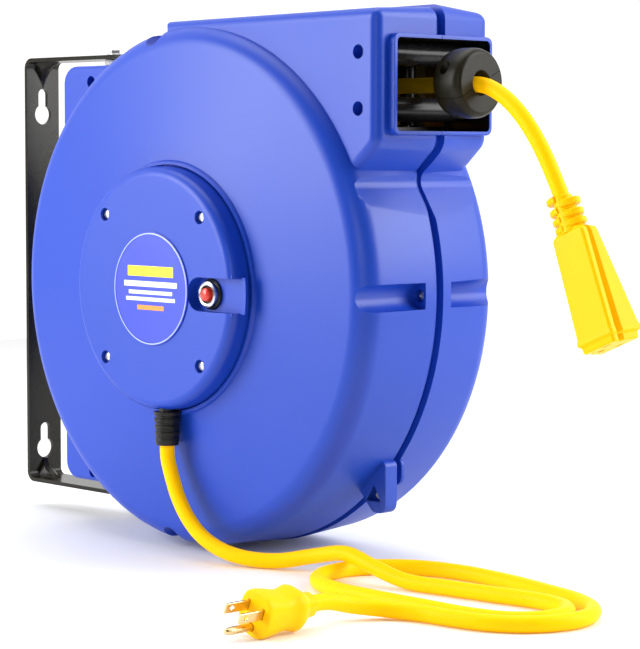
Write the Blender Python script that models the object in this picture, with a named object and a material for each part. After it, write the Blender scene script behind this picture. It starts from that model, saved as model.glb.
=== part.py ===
"""Retractable extension cord reel on a wall bracket, as separate pieces.

Pieces are drawn in millimetres about the drum's centre: X out of the wall, Y along the drum's axle (the hub cover
with the label is on the -Y side), Z up. to_world() moves them so that the origin is the centre of the wall plate's
back face, and turns them into metres.
"""

import math

import bmesh
import bpy
import numpy as np
from mathutils import Matrix, Vector

MM = 0.001
GAP = 0.3
NUDGES = (0.0, 0.004, -0.007, 0.011, -0.017, 0.023)

# Wall bracket
DRUM_X = 247.0
STRAP_T = 3.0
STRAP_HALF_W = 15.5
STRAP_HALF_H = 165.8
ARM_END_X = -136.0
PIVOT_X = -150.5
PIVOT_R = 5.0
BOX_HALF_H = 156.0

# Casing
RIM_R = 182.6
RIM_SIDES = 54
WALL = 3.0
SEAM = 2.5
LIP = 6.0
FRONT_FACE = -68.7
REAR_FACE = 60.2
FILLET_R = 17.0
HUB_R = 84.0
HUB_RISE = 9.3
FRONT_SEAT = -76.2
REAR_SEAT = 67.7
FRONT_HUB_TOP = -94.6
REAR_HUB_TOP = 84.0
MOUTH_FRONT = -57.5
MOUTH_REAR = 51.7
MOUTH_X = 181.0
ROOF_Z = 188.5
REAR_BOX_X = -168.0
REAR_BOX_DEPTH = 40.0

# Mouth, rollers and cord
CORD_R = 5.1
CORD_Z = 137.6
MOUTH_HALF_Y = 44.3
MOUTH_Z = (107.5, 167.5)
LIP_X = 185.2
ROLLER_X = 162.7
ROLLER_Z = (121.8, 158.2)
ROLLER_R = 8.0
SIDE_ROLLER_X = 138.0
SIDE_ROLLER_Y = 14.0
SIDE_ROLLER_R = 6.0
PIN_R = 3.0

# Drum
AXLE_R = 8.0
BARREL_R = 100.8
FLANGE_R = 150.0
FLANGE_Y = 42.0
FLANGE_T = 2.5
TURN_PITCH = 10.35
LAYER_PITCH = 10.5
LAYERS = 3
RATCHET_R = 128.0
RATCHET_Y = -49.5

BLUE = ((0.035, 0.065, 0.62), 0.42, 0.0)
BLACK = ((0.012, 0.011, 0.010), 0.45, 0.0)
GLOSS_BLACK = ((0.012, 0.010, 0.008), 0.22, 0.2)
GREY = ((0.045, 0.045, 0.043), 0.5, 0.0)
YELLOW = ((1.0, 0.83, 0.0), 0.38, 0.0)
RED = ((0.7, 0.02, 0.015), 0.35, 0.0)
STEEL = ((0.62, 0.62, 0.63), 0.32, 1.0)
BRASS = ((0.72, 0.52, 0.2), 0.3, 1.0)
SPRING_STEEL = ((0.25, 0.27, 0.32), 0.4, 1.0)
NYLON = ((0.72, 0.71, 0.66), 0.5, 0.0)


def clear_scene():
    for obj in list(bpy.data.objects):
        bpy.data.objects.remove(obj)


def to_world(point):
    return Vector(((point[0] + DRUM_X) * MM, point[1] * MM, point[2] * MM))


# ---------------------------------------------------------------- shapes, in millimetres about the drum's centre


def face_out(bm):
    bmesh.ops.delete(bm, geom=[v for v in bm.verts if not v.link_faces], context="VERTS")
    bmesh.ops.recalc_face_normals(bm, faces=bm.faces)
    return bm


AXES = {
    "X": Matrix(((0, 0, 1), (1, 0, 0), (0, 1, 0))),
    "Y": Matrix(((1, 0, 0), (0, 0, 1), (0, 1, 0))),
    "Z": Matrix(((1, 0, 0), (0, 1, 0), (0, 0, 1))),
}


def lathe(profile, segments, axis="Y", centre=(0, 0, 0)):
    """A closed profile of (radius, height along the axis) turned about that axis."""
    bm = bmesh.new()
    turn = AXES[axis]
    rings = []
    for radius, height in profile:
        angles = [0.0] if radius < 1e-6 else [math.tau * i / segments for i in range(segments)]
        around = [turn @ Vector((radius * math.cos(a), radius * math.sin(a), height)) for a in angles]
        rings.append([bm.verts.new(point + Vector(centre)) for point in around])
    for low, high in zip(rings, rings[1:] + rings[:1]):
        if len(low) == len(high) == 1:
            continue
        flat = abs((turn.transposed() @ (low[0].co - high[0].co)).z) < 1e-6
        if flat and 1 in (len(low), len(high)):
            bm.faces.new(max(low, high, key=len))
            continue
        for i in range(segments):
            j = (i + 1) % segments
            corners = (low[i % len(low)], low[j % len(low)], high[j % len(high)], high[i % len(high)])
            bm.faces.new(dict.fromkeys(corners))
    return face_out(bm)


def rod(start, end, radius, segments=16):
    start, end = Vector(start), Vector(end)
    bm = bmesh.new()
    bmesh.ops.create_cone(bm, cap_ends=True, segments=segments, radius1=radius, radius2=radius,
                          depth=(end - start).length)
    turn = (end - start).to_track_quat("Z", "Y").to_matrix().to_4x4()
    bmesh.ops.transform(bm, matrix=Matrix.Translation((start + end) / 2) @ turn, verts=bm.verts)
    return bm


def tube(start, end, outer, inner, segments=16):
    return cut(rod(start, end, outer, segments), rod(past(start, end, -1), past(end, start, -1), inner, segments))


def past(point, other, distance):
    """The point moved by this distance towards the other, or away from it if negative."""
    point, other = Vector(point), Vector(other)
    return point + (other - point).normalized() * distance


def block(x, y, z):
    bm = bmesh.new()
    bmesh.ops.create_cube(bm, size=1.0)
    for vert in bm.verts:
        vert.co = Vector([sum(span) / 2 + c * (span[1] - span[0]) for span, c in zip((x, y, z), vert.co)])
    return bm


def loft(rings):
    """A closed solid through rings of equally many points, with a flat cap at each end."""
    bm = bmesh.new()
    loops = [[bm.verts.new(point) for point in ring] for ring in rings]
    for low, high in zip(loops, loops[1:]):
        for i in range(len(low)):
            j = (i + 1) % len(low)
            bm.faces.new((low[i], low[j], high[j], high[i]))
    bm.faces.new(loops[0])
    bm.faces.new(loops[-1])
    bmesh.ops.connect_verts_nonplanar(bm, angle_limit=0.0005, faces=bm.faces)
    return face_out(bm)


def prism(outline, low, high, axis="Y"):
    """An outline extruded along an axis: (x, z) along Y, (x, y) along Z and (y, z) along X."""
    order = {"X": lambda a, b, h: (h, a, b), "Y": lambda a, b, h: (a, h, b), "Z": lambda a, b, h: (a, b, h)}[axis]
    return loft([[order(a, b, height) for a, b in outline] for height in (low, high)])


def closed(bm):
    return bool(bm.faces) and all(len(edge.link_faces) == 2 for edge in bm.edges)


def one_boolean(base, tool, operation, nudge):
    """A Boolean of two meshes by the exact solver, with the tool moved by the nudge."""
    made = []
    for bm, shift in ((base, 0.0), (tool, nudge)):
        mesh = bpy.data.meshes.new("shape")
        bm.to_mesh(mesh)
        mesh.transform(Matrix.Translation((shift, 0.7 * shift, 0.4 * shift)))
        obj = bpy.data.objects.new("shape", mesh)
        bpy.context.scene.collection.objects.link(obj)
        made.append(obj)
    made[1].hide_render = True
    made[1].display_type = "WIRE"
    step = made[0].modifiers.new("step", "BOOLEAN")
    step.operation = operation
    step.solver = "EXACT"
    step.object = made[1]
    mesh = bpy.data.meshes.new_from_object(made[0].evaluated_get(bpy.context.evaluated_depsgraph_get()))
    result = bmesh.new()
    result.from_mesh(mesh)
    for obj in made:
        bpy.data.objects.remove(obj)
    bmesh.ops.dissolve_limit(result, angle_limit=0.002, verts=result.verts, edges=result.edges)
    slits = [edge for edge in result.edges if edge.is_boundary]
    bmesh.ops.holes_fill(result, edges=slits, sides=4)
    return result


def combined(base, tools, operation):
    """Booleans one after another. A tool whose faces meet the base too exactly is moved by a few micrometres."""
    for tool in tools:
        for nudge in NUDGES:
            result = one_boolean(base, tool, operation, nudge)
            if closed(result):
                break
            result.free()
        else:
            raise ValueError("a Boolean left an open surface")
        base.free()
        tool.free()
        base = result
    return base


def cut(base, *tools):
    return combined(base, tools, "DIFFERENCE")


def fused(base, *tools):
    return combined(base, tools, "UNION")


def common(base, *tools):
    return combined(base, tools, "INTERSECT")


def arc(centre, radius, start, end, steps):
    """Points along an arc, angles in degrees."""
    angles = np.radians(np.linspace(start, end, steps + 1))
    return [(centre[0] + radius * math.cos(a), centre[1] + radius * math.sin(a)) for a in angles]


# ---------------------------------------------------------------- objects


def finish_of(name, finish):
    colour, roughness, metallic = finish
    material = bpy.data.materials.new(name)
    material.use_nodes = True
    shader = material.node_tree.nodes["Principled BSDF"]
    shader.inputs["Base Color"].default_value = (*colour, 1.0)
    shader.inputs["Roughness"].default_value = roughness
    shader.inputs["Metallic"].default_value = metallic
    return material


def add(name, bm, finish, origin=(0, 0, 0)):
    """An object from a shape in millimetres, with its origin at this point."""
    place = to_world(origin)
    for vert in bm.verts:
        vert.co = to_world(vert.co) - place
    mesh = bpy.data.meshes.new(name)
    bm.to_mesh(mesh)
    bm.free()
    mesh.shade_smooth()
    mesh.set_sharp_from_angle(angle=math.radians(35))
    mesh.materials.append(finish_of(name, finish))
    obj = bpy.data.objects.new(name, mesh)
    obj.location = place
    bpy.context.scene.collection.objects.link(obj)
    return obj


def smooth_route(points, spacing):
    """Points about a spacing apart on the centripetal curve through the route's own points."""
    route = [Vector(p) for p in points]
    route = [2 * route[0] - route[1]] + route + [2 * route[-1] - route[-2]]
    fine = []
    for p0, p1, p2, p3 in zip(route, route[1:], route[2:], route[3:]):
        t0 = 0.0
        t1 = t0 + (p1 - p0).length ** 0.5
        t2 = t1 + (p2 - p1).length ** 0.5
        t3 = t2 + (p3 - p2).length ** 0.5
        for t in np.linspace(t1, t2, 24, endpoint=False):
            a1 = p0 * ((t1 - t) / (t1 - t0)) + p1 * ((t - t0) / (t1 - t0))
            a2 = p1 * ((t2 - t) / (t2 - t1)) + p2 * ((t - t1) / (t2 - t1))
            a3 = p2 * ((t3 - t) / (t3 - t2)) + p3 * ((t - t2) / (t3 - t2))
            b1 = a1 * ((t2 - t) / (t2 - t0)) + a2 * ((t - t0) / (t2 - t0))
            b2 = a2 * ((t3 - t) / (t3 - t1)) + a3 * ((t - t1) / (t3 - t1))
            fine.append(b1 * ((t2 - t) / (t2 - t1)) + b2 * ((t - t1) / (t2 - t1)))
    fine.append(route[-2])
    along = np.concatenate([[0], np.cumsum([(b - a).length for a, b in zip(fine, fine[1:])])])
    steps = max(2, round(along[-1] / spacing))
    wanted = np.linspace(0, along[-1], steps + 1)
    columns = [np.interp(wanted, along, [p[axis] for p in fine]) for axis in range(3)]
    return [Vector(p) for p in zip(*columns)]


def add_tube(name, points, radius, finish, origin=(0, 0, 0), resolution=2):
    """A cord or wire along these points, as a curve with a round section and closed ends."""
    place = to_world(origin)
    curve = bpy.data.curves.new(name, "CURVE")
    curve.dimensions = "3D"
    curve.bevel_depth = radius * MM
    curve.bevel_resolution = resolution
    curve.use_fill_caps = True
    curve.twist_mode = "MINIMUM"
    spline = curve.splines.new("POLY")
    spline.points.add(len(points) - 1)
    for knot, point in zip(spline.points, points):
        knot.co = (*(to_world(point) - place), 1.0)
    curve.materials.append(finish_of(name, finish))
    obj = bpy.data.objects.new(name, curve)
    obj.location = place
    bpy.context.scene.collection.objects.link(obj)
    return obj


# ---------------------------------------------------------------- casing outlines


def mouth_box(low_y, high_y, inset=0.0, slope=0.0, chamfer=6.0):
    """The housing of the mouth: a flat-sided box that leans in by the slope towards its own face."""
    def ring(y, shrink):
        x = MOUTH_X + 1.5 - shrink
        top = ROOF_Z + 1.5 - shrink
        corner = arc((x - 9, top - 9), 9, 0, 90, 3)
        return [(a, y, b) for a, b in [(20, 60), (164 - shrink, 80.7 + 0.4 * shrink), (x, 97 + 0.4 * shrink)]
                + corner + [(-30 - 0.3 * shrink, top - 1.5), (-64, 168 - 0.6 * shrink), (-20, 90)]]
    face, seam = (low_y, high_y) if abs(low_y) > abs(high_y) else (high_y, low_y)
    back = math.copysign(chamfer, -face)
    return loft([ring(seam, inset), ring(face + back, inset + slope), ring(face, inset + slope + chamfer)])


def rear_box(low_y, high_y, inset=0.0, slope=0.0, chamfer=5.0):
    """The box at the wall side that holds the pivots."""
    def ring(y, shrink):
        x = REAR_BOX_X + shrink
        top = BOX_HALF_H - shrink
        upper = arc((x + 14, top - 14), 14, 90, 180, 3)
        lower = arc((x + 14, 14 - top), 14, 180, 270, 3)
        return [(a, y, b) for a, b in [(-60, top)] + upper + lower + [(-60, -top), (-40, 0)]]
    face, seam = (low_y, high_y) if abs(low_y) > abs(high_y) else (high_y, low_y)
    back = math.copysign(chamfer, -face)
    return loft([ring(seam, inset), ring(face + back, inset + slope), ring(face, inset + slope + chamfer)])


def round_body(side, seam_y, face, seat, inset=0.0):
    """The round dish of one shell: flat seat for the hub cover, a shallow cone, a fillet, then the rim wall."""
    radius = FILLET_R - inset
    rim = RIM_R - inset
    centre = (RIM_R - 1.8 - FILLET_R, abs(face) - FILLET_R)
    curve = arc(centre, radius, 0, 90, 4)
    hub = abs(face) + HUB_RISE - inset
    profile = [(0, seam_y), (RIM_R - LIP, seam_y), (RIM_R - LIP, side * LIP)] if inset else [(0, seam_y), (rim, seam_y)]
    if inset:
        profile.append((rim, side * LIP))
    profile += [(r, side * h) for r, h in curve]
    profile += [(HUB_R + 0.8 + 2 * inset, side * min(hub, abs(seat) - inset if inset else hub))]
    if not inset:
        profile.append((HUB_R + 0.8, seat))
    profile.append((0, seat - side * inset))
    return lathe(profile, RIM_SIDES)


POCKETS = (0.0, 101.0, 265.0)
POCKET_R = 179.5
POCKET_BORE = 9.0


def on_circle(radius, degrees, y=0.0):
    return (radius * math.cos(math.radians(degrees)), y, radius * math.sin(math.radians(degrees)))


def lug(low, high, shrink=0.0):
    """The screw lug that stands out of the rim low on the mouth's side."""
    outline = [(116, -112), (141, -112), (146 - shrink, -116), (146 - shrink, -142.5), (141, -148.3 + shrink),
               (133 + shrink, -148 + shrink), (119 + shrink, -133)]
    return prism(outline, low, high)


PIN_HOLES = [(ROLLER_X, z) for z in ROLLER_Z]
BOX_SCREWS = [(-133.5, 145.0), (-133.5, -145.0)]
LUG_SCREW = (135.2, -136.7)
STRAIN = (6.5, -86.0)
STRAIN_END = -107.7
HUB_SCREWS = [(x, z) for z in (50.0, -50.0) for x in (-50.0, 50.0)]


def kept_solid():
    """Parts of the shells that stay solid inside: pivot blocks, screw posts and the walls of the rim pockets."""
    solid = [block((-170, -136), (-16, 16), (z - 12, z + 12)) for z in (148.0, -148.0)]
    solid += [rod((x, -60, z), (x, 60, z), 6.5, 12) for x, z in BOX_SCREWS]
    return solid + [rod(on_circle(POCKET_R, a, -80), on_circle(POCKET_R, a, 80), POCKET_BORE + 2.4, 16) for a in POCKETS]


def shell_hollows(side, seam_y, face, seat, mouth_face):
    """The hollows of one shell: the dish, the room beside the rollers' cheeks, the pivot box and the mouth."""
    end = side * 1.0
    dish = round_body(side, -5 * end, face, seat, WALL)
    behind = block((-90, 148), (-80, 80), (60, ROOF_Z + 8))
    mouth = common(mouth_box(*sorted((-end * 5.4, mouth_face - side * WALL)), inset=6.0), behind)
    box = rear_box(*sorted((-end * 5.8, side * (REAR_BOX_DEPTH - WALL))), inset=6.0)
    tunnel = block((140, LIP_X + 3), sorted((-end * 5, side * MOUTH_HALF_Y)), MOUTH_Z)
    return [cut(hollow, *kept_solid()) for hollow in (dish, mouth, box)] + [tunnel]


def lip_frame(low, high):
    """The raised frame around the mouth."""
    half = MOUTH_HALF_Y + 2.7
    edge = sorted((low, high), key=abs)[0]
    far = math.copysign(half, low + high)
    return block((MOUTH_X - 6, LIP_X), sorted((edge, far)), (MOUTH_Z[0] - 2.7, MOUTH_Z[1] + 2.7))


def front_shell():
    outer = fused(round_body(-1, -SEAM, FRONT_FACE, FRONT_SEAT), mouth_box(MOUTH_FRONT, -SEAM, slope=2.0),
                  rear_box(-REAR_BOX_DEPTH, -SEAM, slope=2.0), lug(-14, -SEAM), lip_frame(-MOUTH_HALF_Y, -SEAM))
    hollows = shell_hollows(-1, -SEAM, FRONT_FACE, FRONT_SEAT, MOUTH_FRONT)
    holes = [rod((0, -80, 0), (0, -70, 0), 34, 32), block((42, 67), (-80, -70), (-13, 10))]
    holes += [rod((x, -80, z), (x, -70, z), 2.2, 10) for x, z in HUB_SCREWS]
    for x, z in PIN_HOLES:
        holes += [rod((x, -60, z), (x, -49, z), 4.7, 16), rod((x, -50, z), (x, -40, z), PIN_R + GAP, 12)]
    for x, z in BOX_SCREWS:
        holes += [rod((x, -60, z), (x, -14, z), 4.4, 16), rod((x, -15, z), (x, 0, z), 2.3, 10)]
    for angle in POCKETS:
        holes += [rod(on_circle(POCKET_R, angle, -90), on_circle(POCKET_R, angle, -17), POCKET_BORE, 20),
                  rod(on_circle(POCKET_R - 3, angle, -18), on_circle(POCKET_R - 3, angle, 0), 2.3, 10)]
    x, z = LUG_SCREW
    holes += [prism([(x - 7, z - 3.7), (x + 6.2, z - 3.7), (x, z + 7.4)], -20, -8), rod((x, -9, z), (x, 0, z), 2.3, 10)]
    holes.append(rod((STRAIN[0], STRAIN[1], -82), (STRAIN[0], STRAIN[1], -112), 9.7, 20))
    holes += [rod((PIVOT_X, 0, s * 130), (PIVOT_X, 0, s * 170), PIVOT_R + 0.4, 16) for s in (1, -1)]
    return cut(outer, *hollows, *holes)


def rear_shell():
    outer = fused(round_body(1, SEAM - 0.5, REAR_FACE, REAR_SEAT), mouth_box(SEAM - 0.5, MOUTH_REAR, slope=2.0),
                  rear_box(SEAM - 0.5, REAR_BOX_DEPTH, slope=2.0), lug(SEAM - 0.5, 5))
    tongue = fused(lathe([(0, -SEAM + GAP), (RIM_R - 3.2, -SEAM + GAP), (RIM_R - 3.2, 4), (0, 4)], RIM_SIDES),
                   mouth_box(-SEAM + GAP, 8, inset=3.2, chamfer=0.5), rear_box(-SEAM + GAP, 8, inset=3.2, chamfer=0.5),
                   lug(-SEAM + GAP, 5, 3.0))
    tongue = fused(tongue, lip_frame(-SEAM + GAP, MOUTH_HALF_Y))
    hollows = shell_hollows(1, SEAM, REAR_FACE, REAR_SEAT, MOUTH_REAR)
    holes = [rod((x, 40, z), (x, MOUTH_REAR - 2, z), PIN_R + GAP, 12) for x, z in PIN_HOLES]
    holes += [rod((x, 60, z), (x, 80, z), 2.2, 10) for x, z in HUB_SCREWS]
    holes += [rod((x, -5, z), (x, 12, z), 2.3, 10) for x, z in BOX_SCREWS]
    for angle in POCKETS:
        holes += [rod(on_circle(POCKET_R, angle, 10), on_circle(POCKET_R, angle, 80), POCKET_BORE, 20),
                  rod(on_circle(POCKET_R - 3, angle, -6), on_circle(POCKET_R - 3, angle, 5), 2.3, 10)]
    x, z = LUG_SCREW
    holes += [rod((x, -5, z), (x, 8, z), 2.3, 10)]
    holes += [rod((PIVOT_X, 0, s * 130), (PIVOT_X, 0, s * 170), PIVOT_R + 0.4, 16) for s in (1, -1)]
    return cut(fused(outer, tongue), *hollows, *holes)


def hub_cover(side, base, top, screws):
    """A round cup with a rounded edge, screw wells and posts that reach the shell's seat."""
    depth = abs(top) - abs(base)
    h = abs(base)
    rim = arc((HUB_R - 6.5, abs(top) - 6.5), 6.5, 0, 90, 3)
    outer = lathe([(0, side * h), (HUB_R, side * h)] + [(r, side * y) for r, y in rim] + [(0, side * abs(top))], 40)
    inner = lathe([(0, side * (h - 1)), (HUB_R - 2.6, side * (h - 1)), (HUB_R - 2.6, side * (h + depth - 6)),
                   (HUB_R - 6.5, side * (abs(top) - 2.6)), (0, side * (abs(top) - 2.6))], 40)
    posts = [rod((x, 0, z), (x, side * (abs(top) - 1), z), 6.2, 12) for x, z in screws]
    cup = cut(outer, cut(inner, *posts))
    wells = []
    for x, z in screws:
        wells += [rod((x, side * (abs(top) - 4.2), z), (x, side * (abs(top) + 5), z), 4.5, 12),
                  rod((x, side * (h - 2), z), (x, side * (abs(top)), z), 2.2, 8)]
    return cut(cup, *wells)


CHANNEL_FLOOR = -87.0
BREAKER = (54.4, -1.5)


def channel_outline(grow=0.0):
    """A slot with a round inner end that runs out through the cover's edge."""
    x, z = BREAKER
    return [(x + 40, z - 11.5 - grow)] + [(x + 40, z + 11.5 + grow)] + arc((x - 5, z), 11.5 + grow, 90, 270, 8)


def front_hub_cover():
    cup = hub_cover(-1, FRONT_SEAT - GAP, FRONT_HUB_TOP, HUB_SCREWS)
    round_limit = rod((0, -80, 0), (0, -94, 0), HUB_R - 2, 48)
    cup = fused(cup, common(prism(channel_outline(2.5), CHANNEL_FLOOR + 2.5, -93), round_limit))
    x, z = BREAKER
    return cut(cup, prism(channel_outline(), CHANNEL_FLOOR, -100), rod((x, -95, z), (x, -80, z), 6.4, 16),
               rod((6.5, -86, -70), (6.5, -86, -90), 5.8, 16))


def screw(x, z, head_y, side, shank, head_r=3.8):
    """A pan head screw along Y whose head's underside is at head_y."""
    heights = [(0, -shank), (1.9, -shank), (1.9, 0), (head_r, 0), (head_r, 1.4), (head_r * 0.6, 2.7), (0, 2.7)]
    return lathe([(r, head_y + side * h) for r, h in heights], 10, centre=(x, 0, z))


# ---------------------------------------------------------------- pieces


def add_bracket():
    outer, inner = 8.0, 8.0 - STRAP_T
    left = -DRUM_X
    top = STRAP_HALF_H
    outline = [(ARM_END_X, top)] + arc((left + outer, top - outer), outer, 90, 180, 4)
    outline += arc((left + outer, outer - top), outer, 180, 270, 4) + [(ARM_END_X, -top), (ARM_END_X, STRAP_T - top)]
    outline += arc((left + outer, outer - top), inner, 270, 180, 4)
    outline += arc((left + outer, top - outer), inner, 180, 90, 4) + [(ARM_END_X, top - STRAP_T)]
    strap = prism(outline, -STRAP_HALF_W, STRAP_HALF_W)
    gussets = [prism([(left + 1, s * (top - 1)), (left + 1, s * (top - 20)), (left + 3, s * (top - 20)),
                      (left + 20, s * (top - 3)), (left + 20, s * (top - 1))], -3.5, 3.5) for s in (1, -1)]
    holes = []
    for low in (114.7, -148.5):
        outline = arc((0, low + 7.8), 7.8, 124.3, 415.7, 12) + arc((0, low + 23.4), 4.4, 0, 180, 6)
        holes.append(prism(outline, left - 2, left + STRAP_T + 2, "X"))
    holes += [rod((PIVOT_X, 0, s * 150), (PIVOT_X, 0, s * 180), PIVOT_R + GAP, 16) for s in (1, -1)]
    add("wall_bracket", cut(fused(strap, *gussets), *holes), GLOSS_BLACK)
    for s, side in ((1, "top"), (-1, "bottom")):
        head = rod((PIVOT_X, 0, s * (top + GAP)), (PIVOT_X, 0, s * (top + 4.2)), 7.5, 6)
        shank = rod((PIVOT_X, 0, s * 142), (PIVOT_X, 0, s * (top + 1)), PIVOT_R, 16)
        add("pivot_bolt_" + side, fused(head, shank), STEEL)
        washer = tube((PIVOT_X, 0, s * (BOX_HALF_H + 2.2)), (PIVOT_X, 0, s * (top - STRAP_T - GAP)), 10, PIVOT_R + GAP)
        add("pivot_washer_" + side, washer, NYLON)


CASING = (PIVOT_X, 0, 0)


def add_casing():
    add("front_shell", front_shell(), BLUE, CASING)
    add("rear_shell", rear_shell(), BLUE, CASING)
    add("hub_cover", front_hub_cover(), BLUE, CASING)
    add("rear_cover", hub_cover(1, REAR_SEAT + GAP, REAR_HUB_TOP, HUB_SCREWS), BLUE, CASING)
    for i, (x, z) in enumerate(HUB_SCREWS, 1):
        add(f"hub_screw_{i}", screw(x, z, FRONT_HUB_TOP + 3.9, -1, 20), STEEL, CASING)
    face = FRONT_HUB_TOP - GAP
    add("label_plate", rod((0, face, 0), (0, face - 0.7, 0), 39, 48), BLUE, CASING)
    for i, angle in enumerate(POCKETS, 1):
        x, _, z = on_circle(POCKET_R - 3, angle)
        add(f"rim_screw_{i}", screw(x, z, -17 - GAP, -1, 20), STEEL, CASING)
    add("lug_screw", screw(*LUG_SCREW, -8 - GAP, -1, 12, 2.8), STEEL, CASING)


def add_mouth():
    half = MOUTH_HALF_Y - 1.0
    for z, side in zip(ROLLER_Z, ("lower", "upper")):
        add(f"{side}_roller", tube((ROLLER_X, -half, z), (ROLLER_X, half, z), ROLLER_R, PIN_R + 0.4, 24), BLACK,
            (ROLLER_X, 0, z))
        add(f"{side}_roller_pin", rod((ROLLER_X, -48.6, z), (ROLLER_X, MOUTH_REAR - 3, z), PIN_R, 12), STEEL, CASING)
    top, bottom = MOUTH_Z[1] - GAP, MOUTH_Z[0] + GAP
    for y, side in ((-SIDE_ROLLER_Y, "front"), (SIDE_ROLLER_Y, "rear")):
        low, high = (SIDE_ROLLER_X, y, bottom + 3.5), (SIDE_ROLLER_X, y, top - 3.5)
        add(f"{side}_roller", tube(low, high, SIDE_ROLLER_R, PIN_R - 0.6, 20), BLACK, (SIDE_ROLLER_X, y, CORD_Z))
        add(f"{side}_roller_pin", rod((SIDE_ROLLER_X, y, bottom + 0.4), (SIDE_ROLLER_X, y, top - 0.4), 2, 12), STEEL, CASING)
    y_half = MOUTH_HALF_Y - GAP
    frame = cut(block((129, 147), (-y_half, y_half), (bottom, top)),
                block((120, 160), (3 - y_half, y_half - 3), (bottom + 3, top - 3)))
    holes = [rod((SIDE_ROLLER_X, y, z), (SIDE_ROLLER_X, y, z + s * 4), 2.3, 12)
             for y in (-SIDE_ROLLER_Y, SIDE_ROLLER_Y) for z, s in ((bottom + 0.2, 1), (top - 0.2, -1))]
    add("cord_guide", cut(frame, *holes), BLACK, CASING)


def ratchet_outline():
    """A ring with two groups of three teeth, and two wide gaps between them."""
    outline = []
    for group in (150.0, 330.0):
        for tooth in range(3):
            angle = group + 20 * tooth
            outline += [on_circle(r, a)[::2] for r, a in ((RATCHET_R, angle), (RATCHET_R + 9, angle + 2),
                                                          (RATCHET_R + 9, angle + 7), (RATCHET_R, angle + 14))]
        outline += [on_circle(RATCHET_R, group + 60 + step)[::2] for step in range(8, 118, 10)]
    return outline


def coil_section():
    """Half section of the wound cord: full layers on the barrel, and a part layer against the front flange."""
    edge = FLANGE_Y - GAP
    low = BARREL_R + GAP
    full = BARREL_R + CORD_R + 0.2 + LAYER_PITCH * (LAYERS - 1) + CORD_R
    part = full + LAYER_PITCH
    return [(low, -edge), (part, -edge), (part, -6.0), (full, -6.0), (full, edge), (low, edge)]


def add_drum():
    outer = FLANGE_Y + FLANGE_T
    add("main_axle", rod((0, FRONT_SEAT + 3.4, 0), (0, REAR_SEAT - 3.4, 0), AXLE_R, 20), STEEL, CASING)
    add("drum_barrel", tube((0, -FLANGE_Y + 0.2, 0), (0, FLANGE_Y - 0.2, 0), BARREL_R, BARREL_R - 3, 48), BLACK)
    add("front_flange", cut(rod((0, -outer, 0), (0, -FLANGE_Y, 0), FLANGE_R, 60), rod((0, -60, 0), (0, 0, 0), 12.3, 20)),
        BLACK)
    add("rear_flange", cut(rod((0, FLANGE_Y, 0), (0, outer, 0), FLANGE_R, 60), rod((0, 0, 0), (0, 60, 0), 12.3, 20)),
        BLACK)
    add("drum_bush", tube((0, -outer - 3, 0), (0, outer + 3, 0), 12, AXLE_R + 0.1, 20), NYLON)
    ring = cut(prism(ratchet_outline(), RATCHET_Y, -outer - GAP), rod((0, -60, 0), (0, -40, 0), RATCHET_R - 10, 48))
    add("ratchet_ring", ring, STEEL)
    rotor_end = -70.5
    add("slip_ring_rotor", tube((0, rotor_end, 0), (0, -outer - 3.4, 0), 22, 8.8, 24), NYLON)
    for i in range(3):
        y = -67.5 + 7.0 * i
        add(f"slip_ring_{i + 1}", tube((0, y, 0), (0, y + 4, 0), 24.5, 22.4, 24), BRASS)
    add("wound_cord", lathe(coil_section(), 48), YELLOW)


def add_contacts():
    add("brush_holder", block((-9, 9), (-72.6, -50.5), (31, 46)), BLACK, CASING)
    for i in range(3):
        y = -67.5 + 7.0 * i
        add(f"contact_brush_{i + 1}", block((-3, 3), (y + 0.5, y + 3.5), (25, 30.7)), BRASS, CASING)


def add_power_spring():
    """A flat strip wound from the axle out to the barrel."""
    turns, start, pitch, thickness, steps = 6, 12.8, 12.0, 1.4, 12
    angles = np.linspace(0, math.tau * turns, turns * steps + 1)
    radii = start + pitch * angles / math.tau
    inner = [(r * math.cos(a), r * math.sin(a)) for r, a in zip(radii, angles)]
    outer = [((r + thickness) * math.cos(a), (r + thickness) * math.sin(a)) for r, a in zip(radii, angles)]
    bm = bmesh.new()
    loops = [[bm.verts.new((x, y, z)) for x, z in path] for path, y in
             ((inner, 8.0), (inner, 34.0), (outer, 34.0), (outer, 8.0))]
    for a, b in zip(loops, loops[1:] + loops[:1]):
        for i in range(len(a) - 1):
            bm.faces.new((a[i], a[i + 1], b[i + 1], b[i]))
    for end in (0, -1):
        bm.faces.new([loop[end] for loop in loops])
    add("power_spring", face_out(bm), SPRING_STEEL, CASING)


PAWL = on_circle(152.0, 250.0)


def add_pawl():
    x, _, z = PAWL
    inward = Vector((-x, 0, -z)).normalized()
    side = Vector((inward.z, 0, -inward.x))
    corners = ((-8, 5.5), (-8, -5.5), (6, -5.5), (18.5, -2), (18.5, 2), (6, 5.5))
    outline = [(Vector((x, 0, z)) + inward * a + side * b).xz[:] for a, b in corners]
    lever = cut(prism(outline, RATCHET_Y, -45.2), rod((x, -60, z), (x, -40, z), 3.0, 12))
    add("pawl", lever, STEEL, PAWL)
    add("pawl_pin", rod((x, -66.4, z), (x, -45.2, z), 2.6, 12), STEEL, CASING)
    turns, steps = 4, 10
    coil = [(x + 4.3 * math.cos(a), -52.0 - 2.2 * a / math.tau, z + 4.3 * math.sin(a))
            for a in np.linspace(0, math.tau * turns, turns * steps + 1)]
    add_tube("pawl_spring", coil, 0.6, SPRING_STEEL, CASING, 1)


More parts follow.
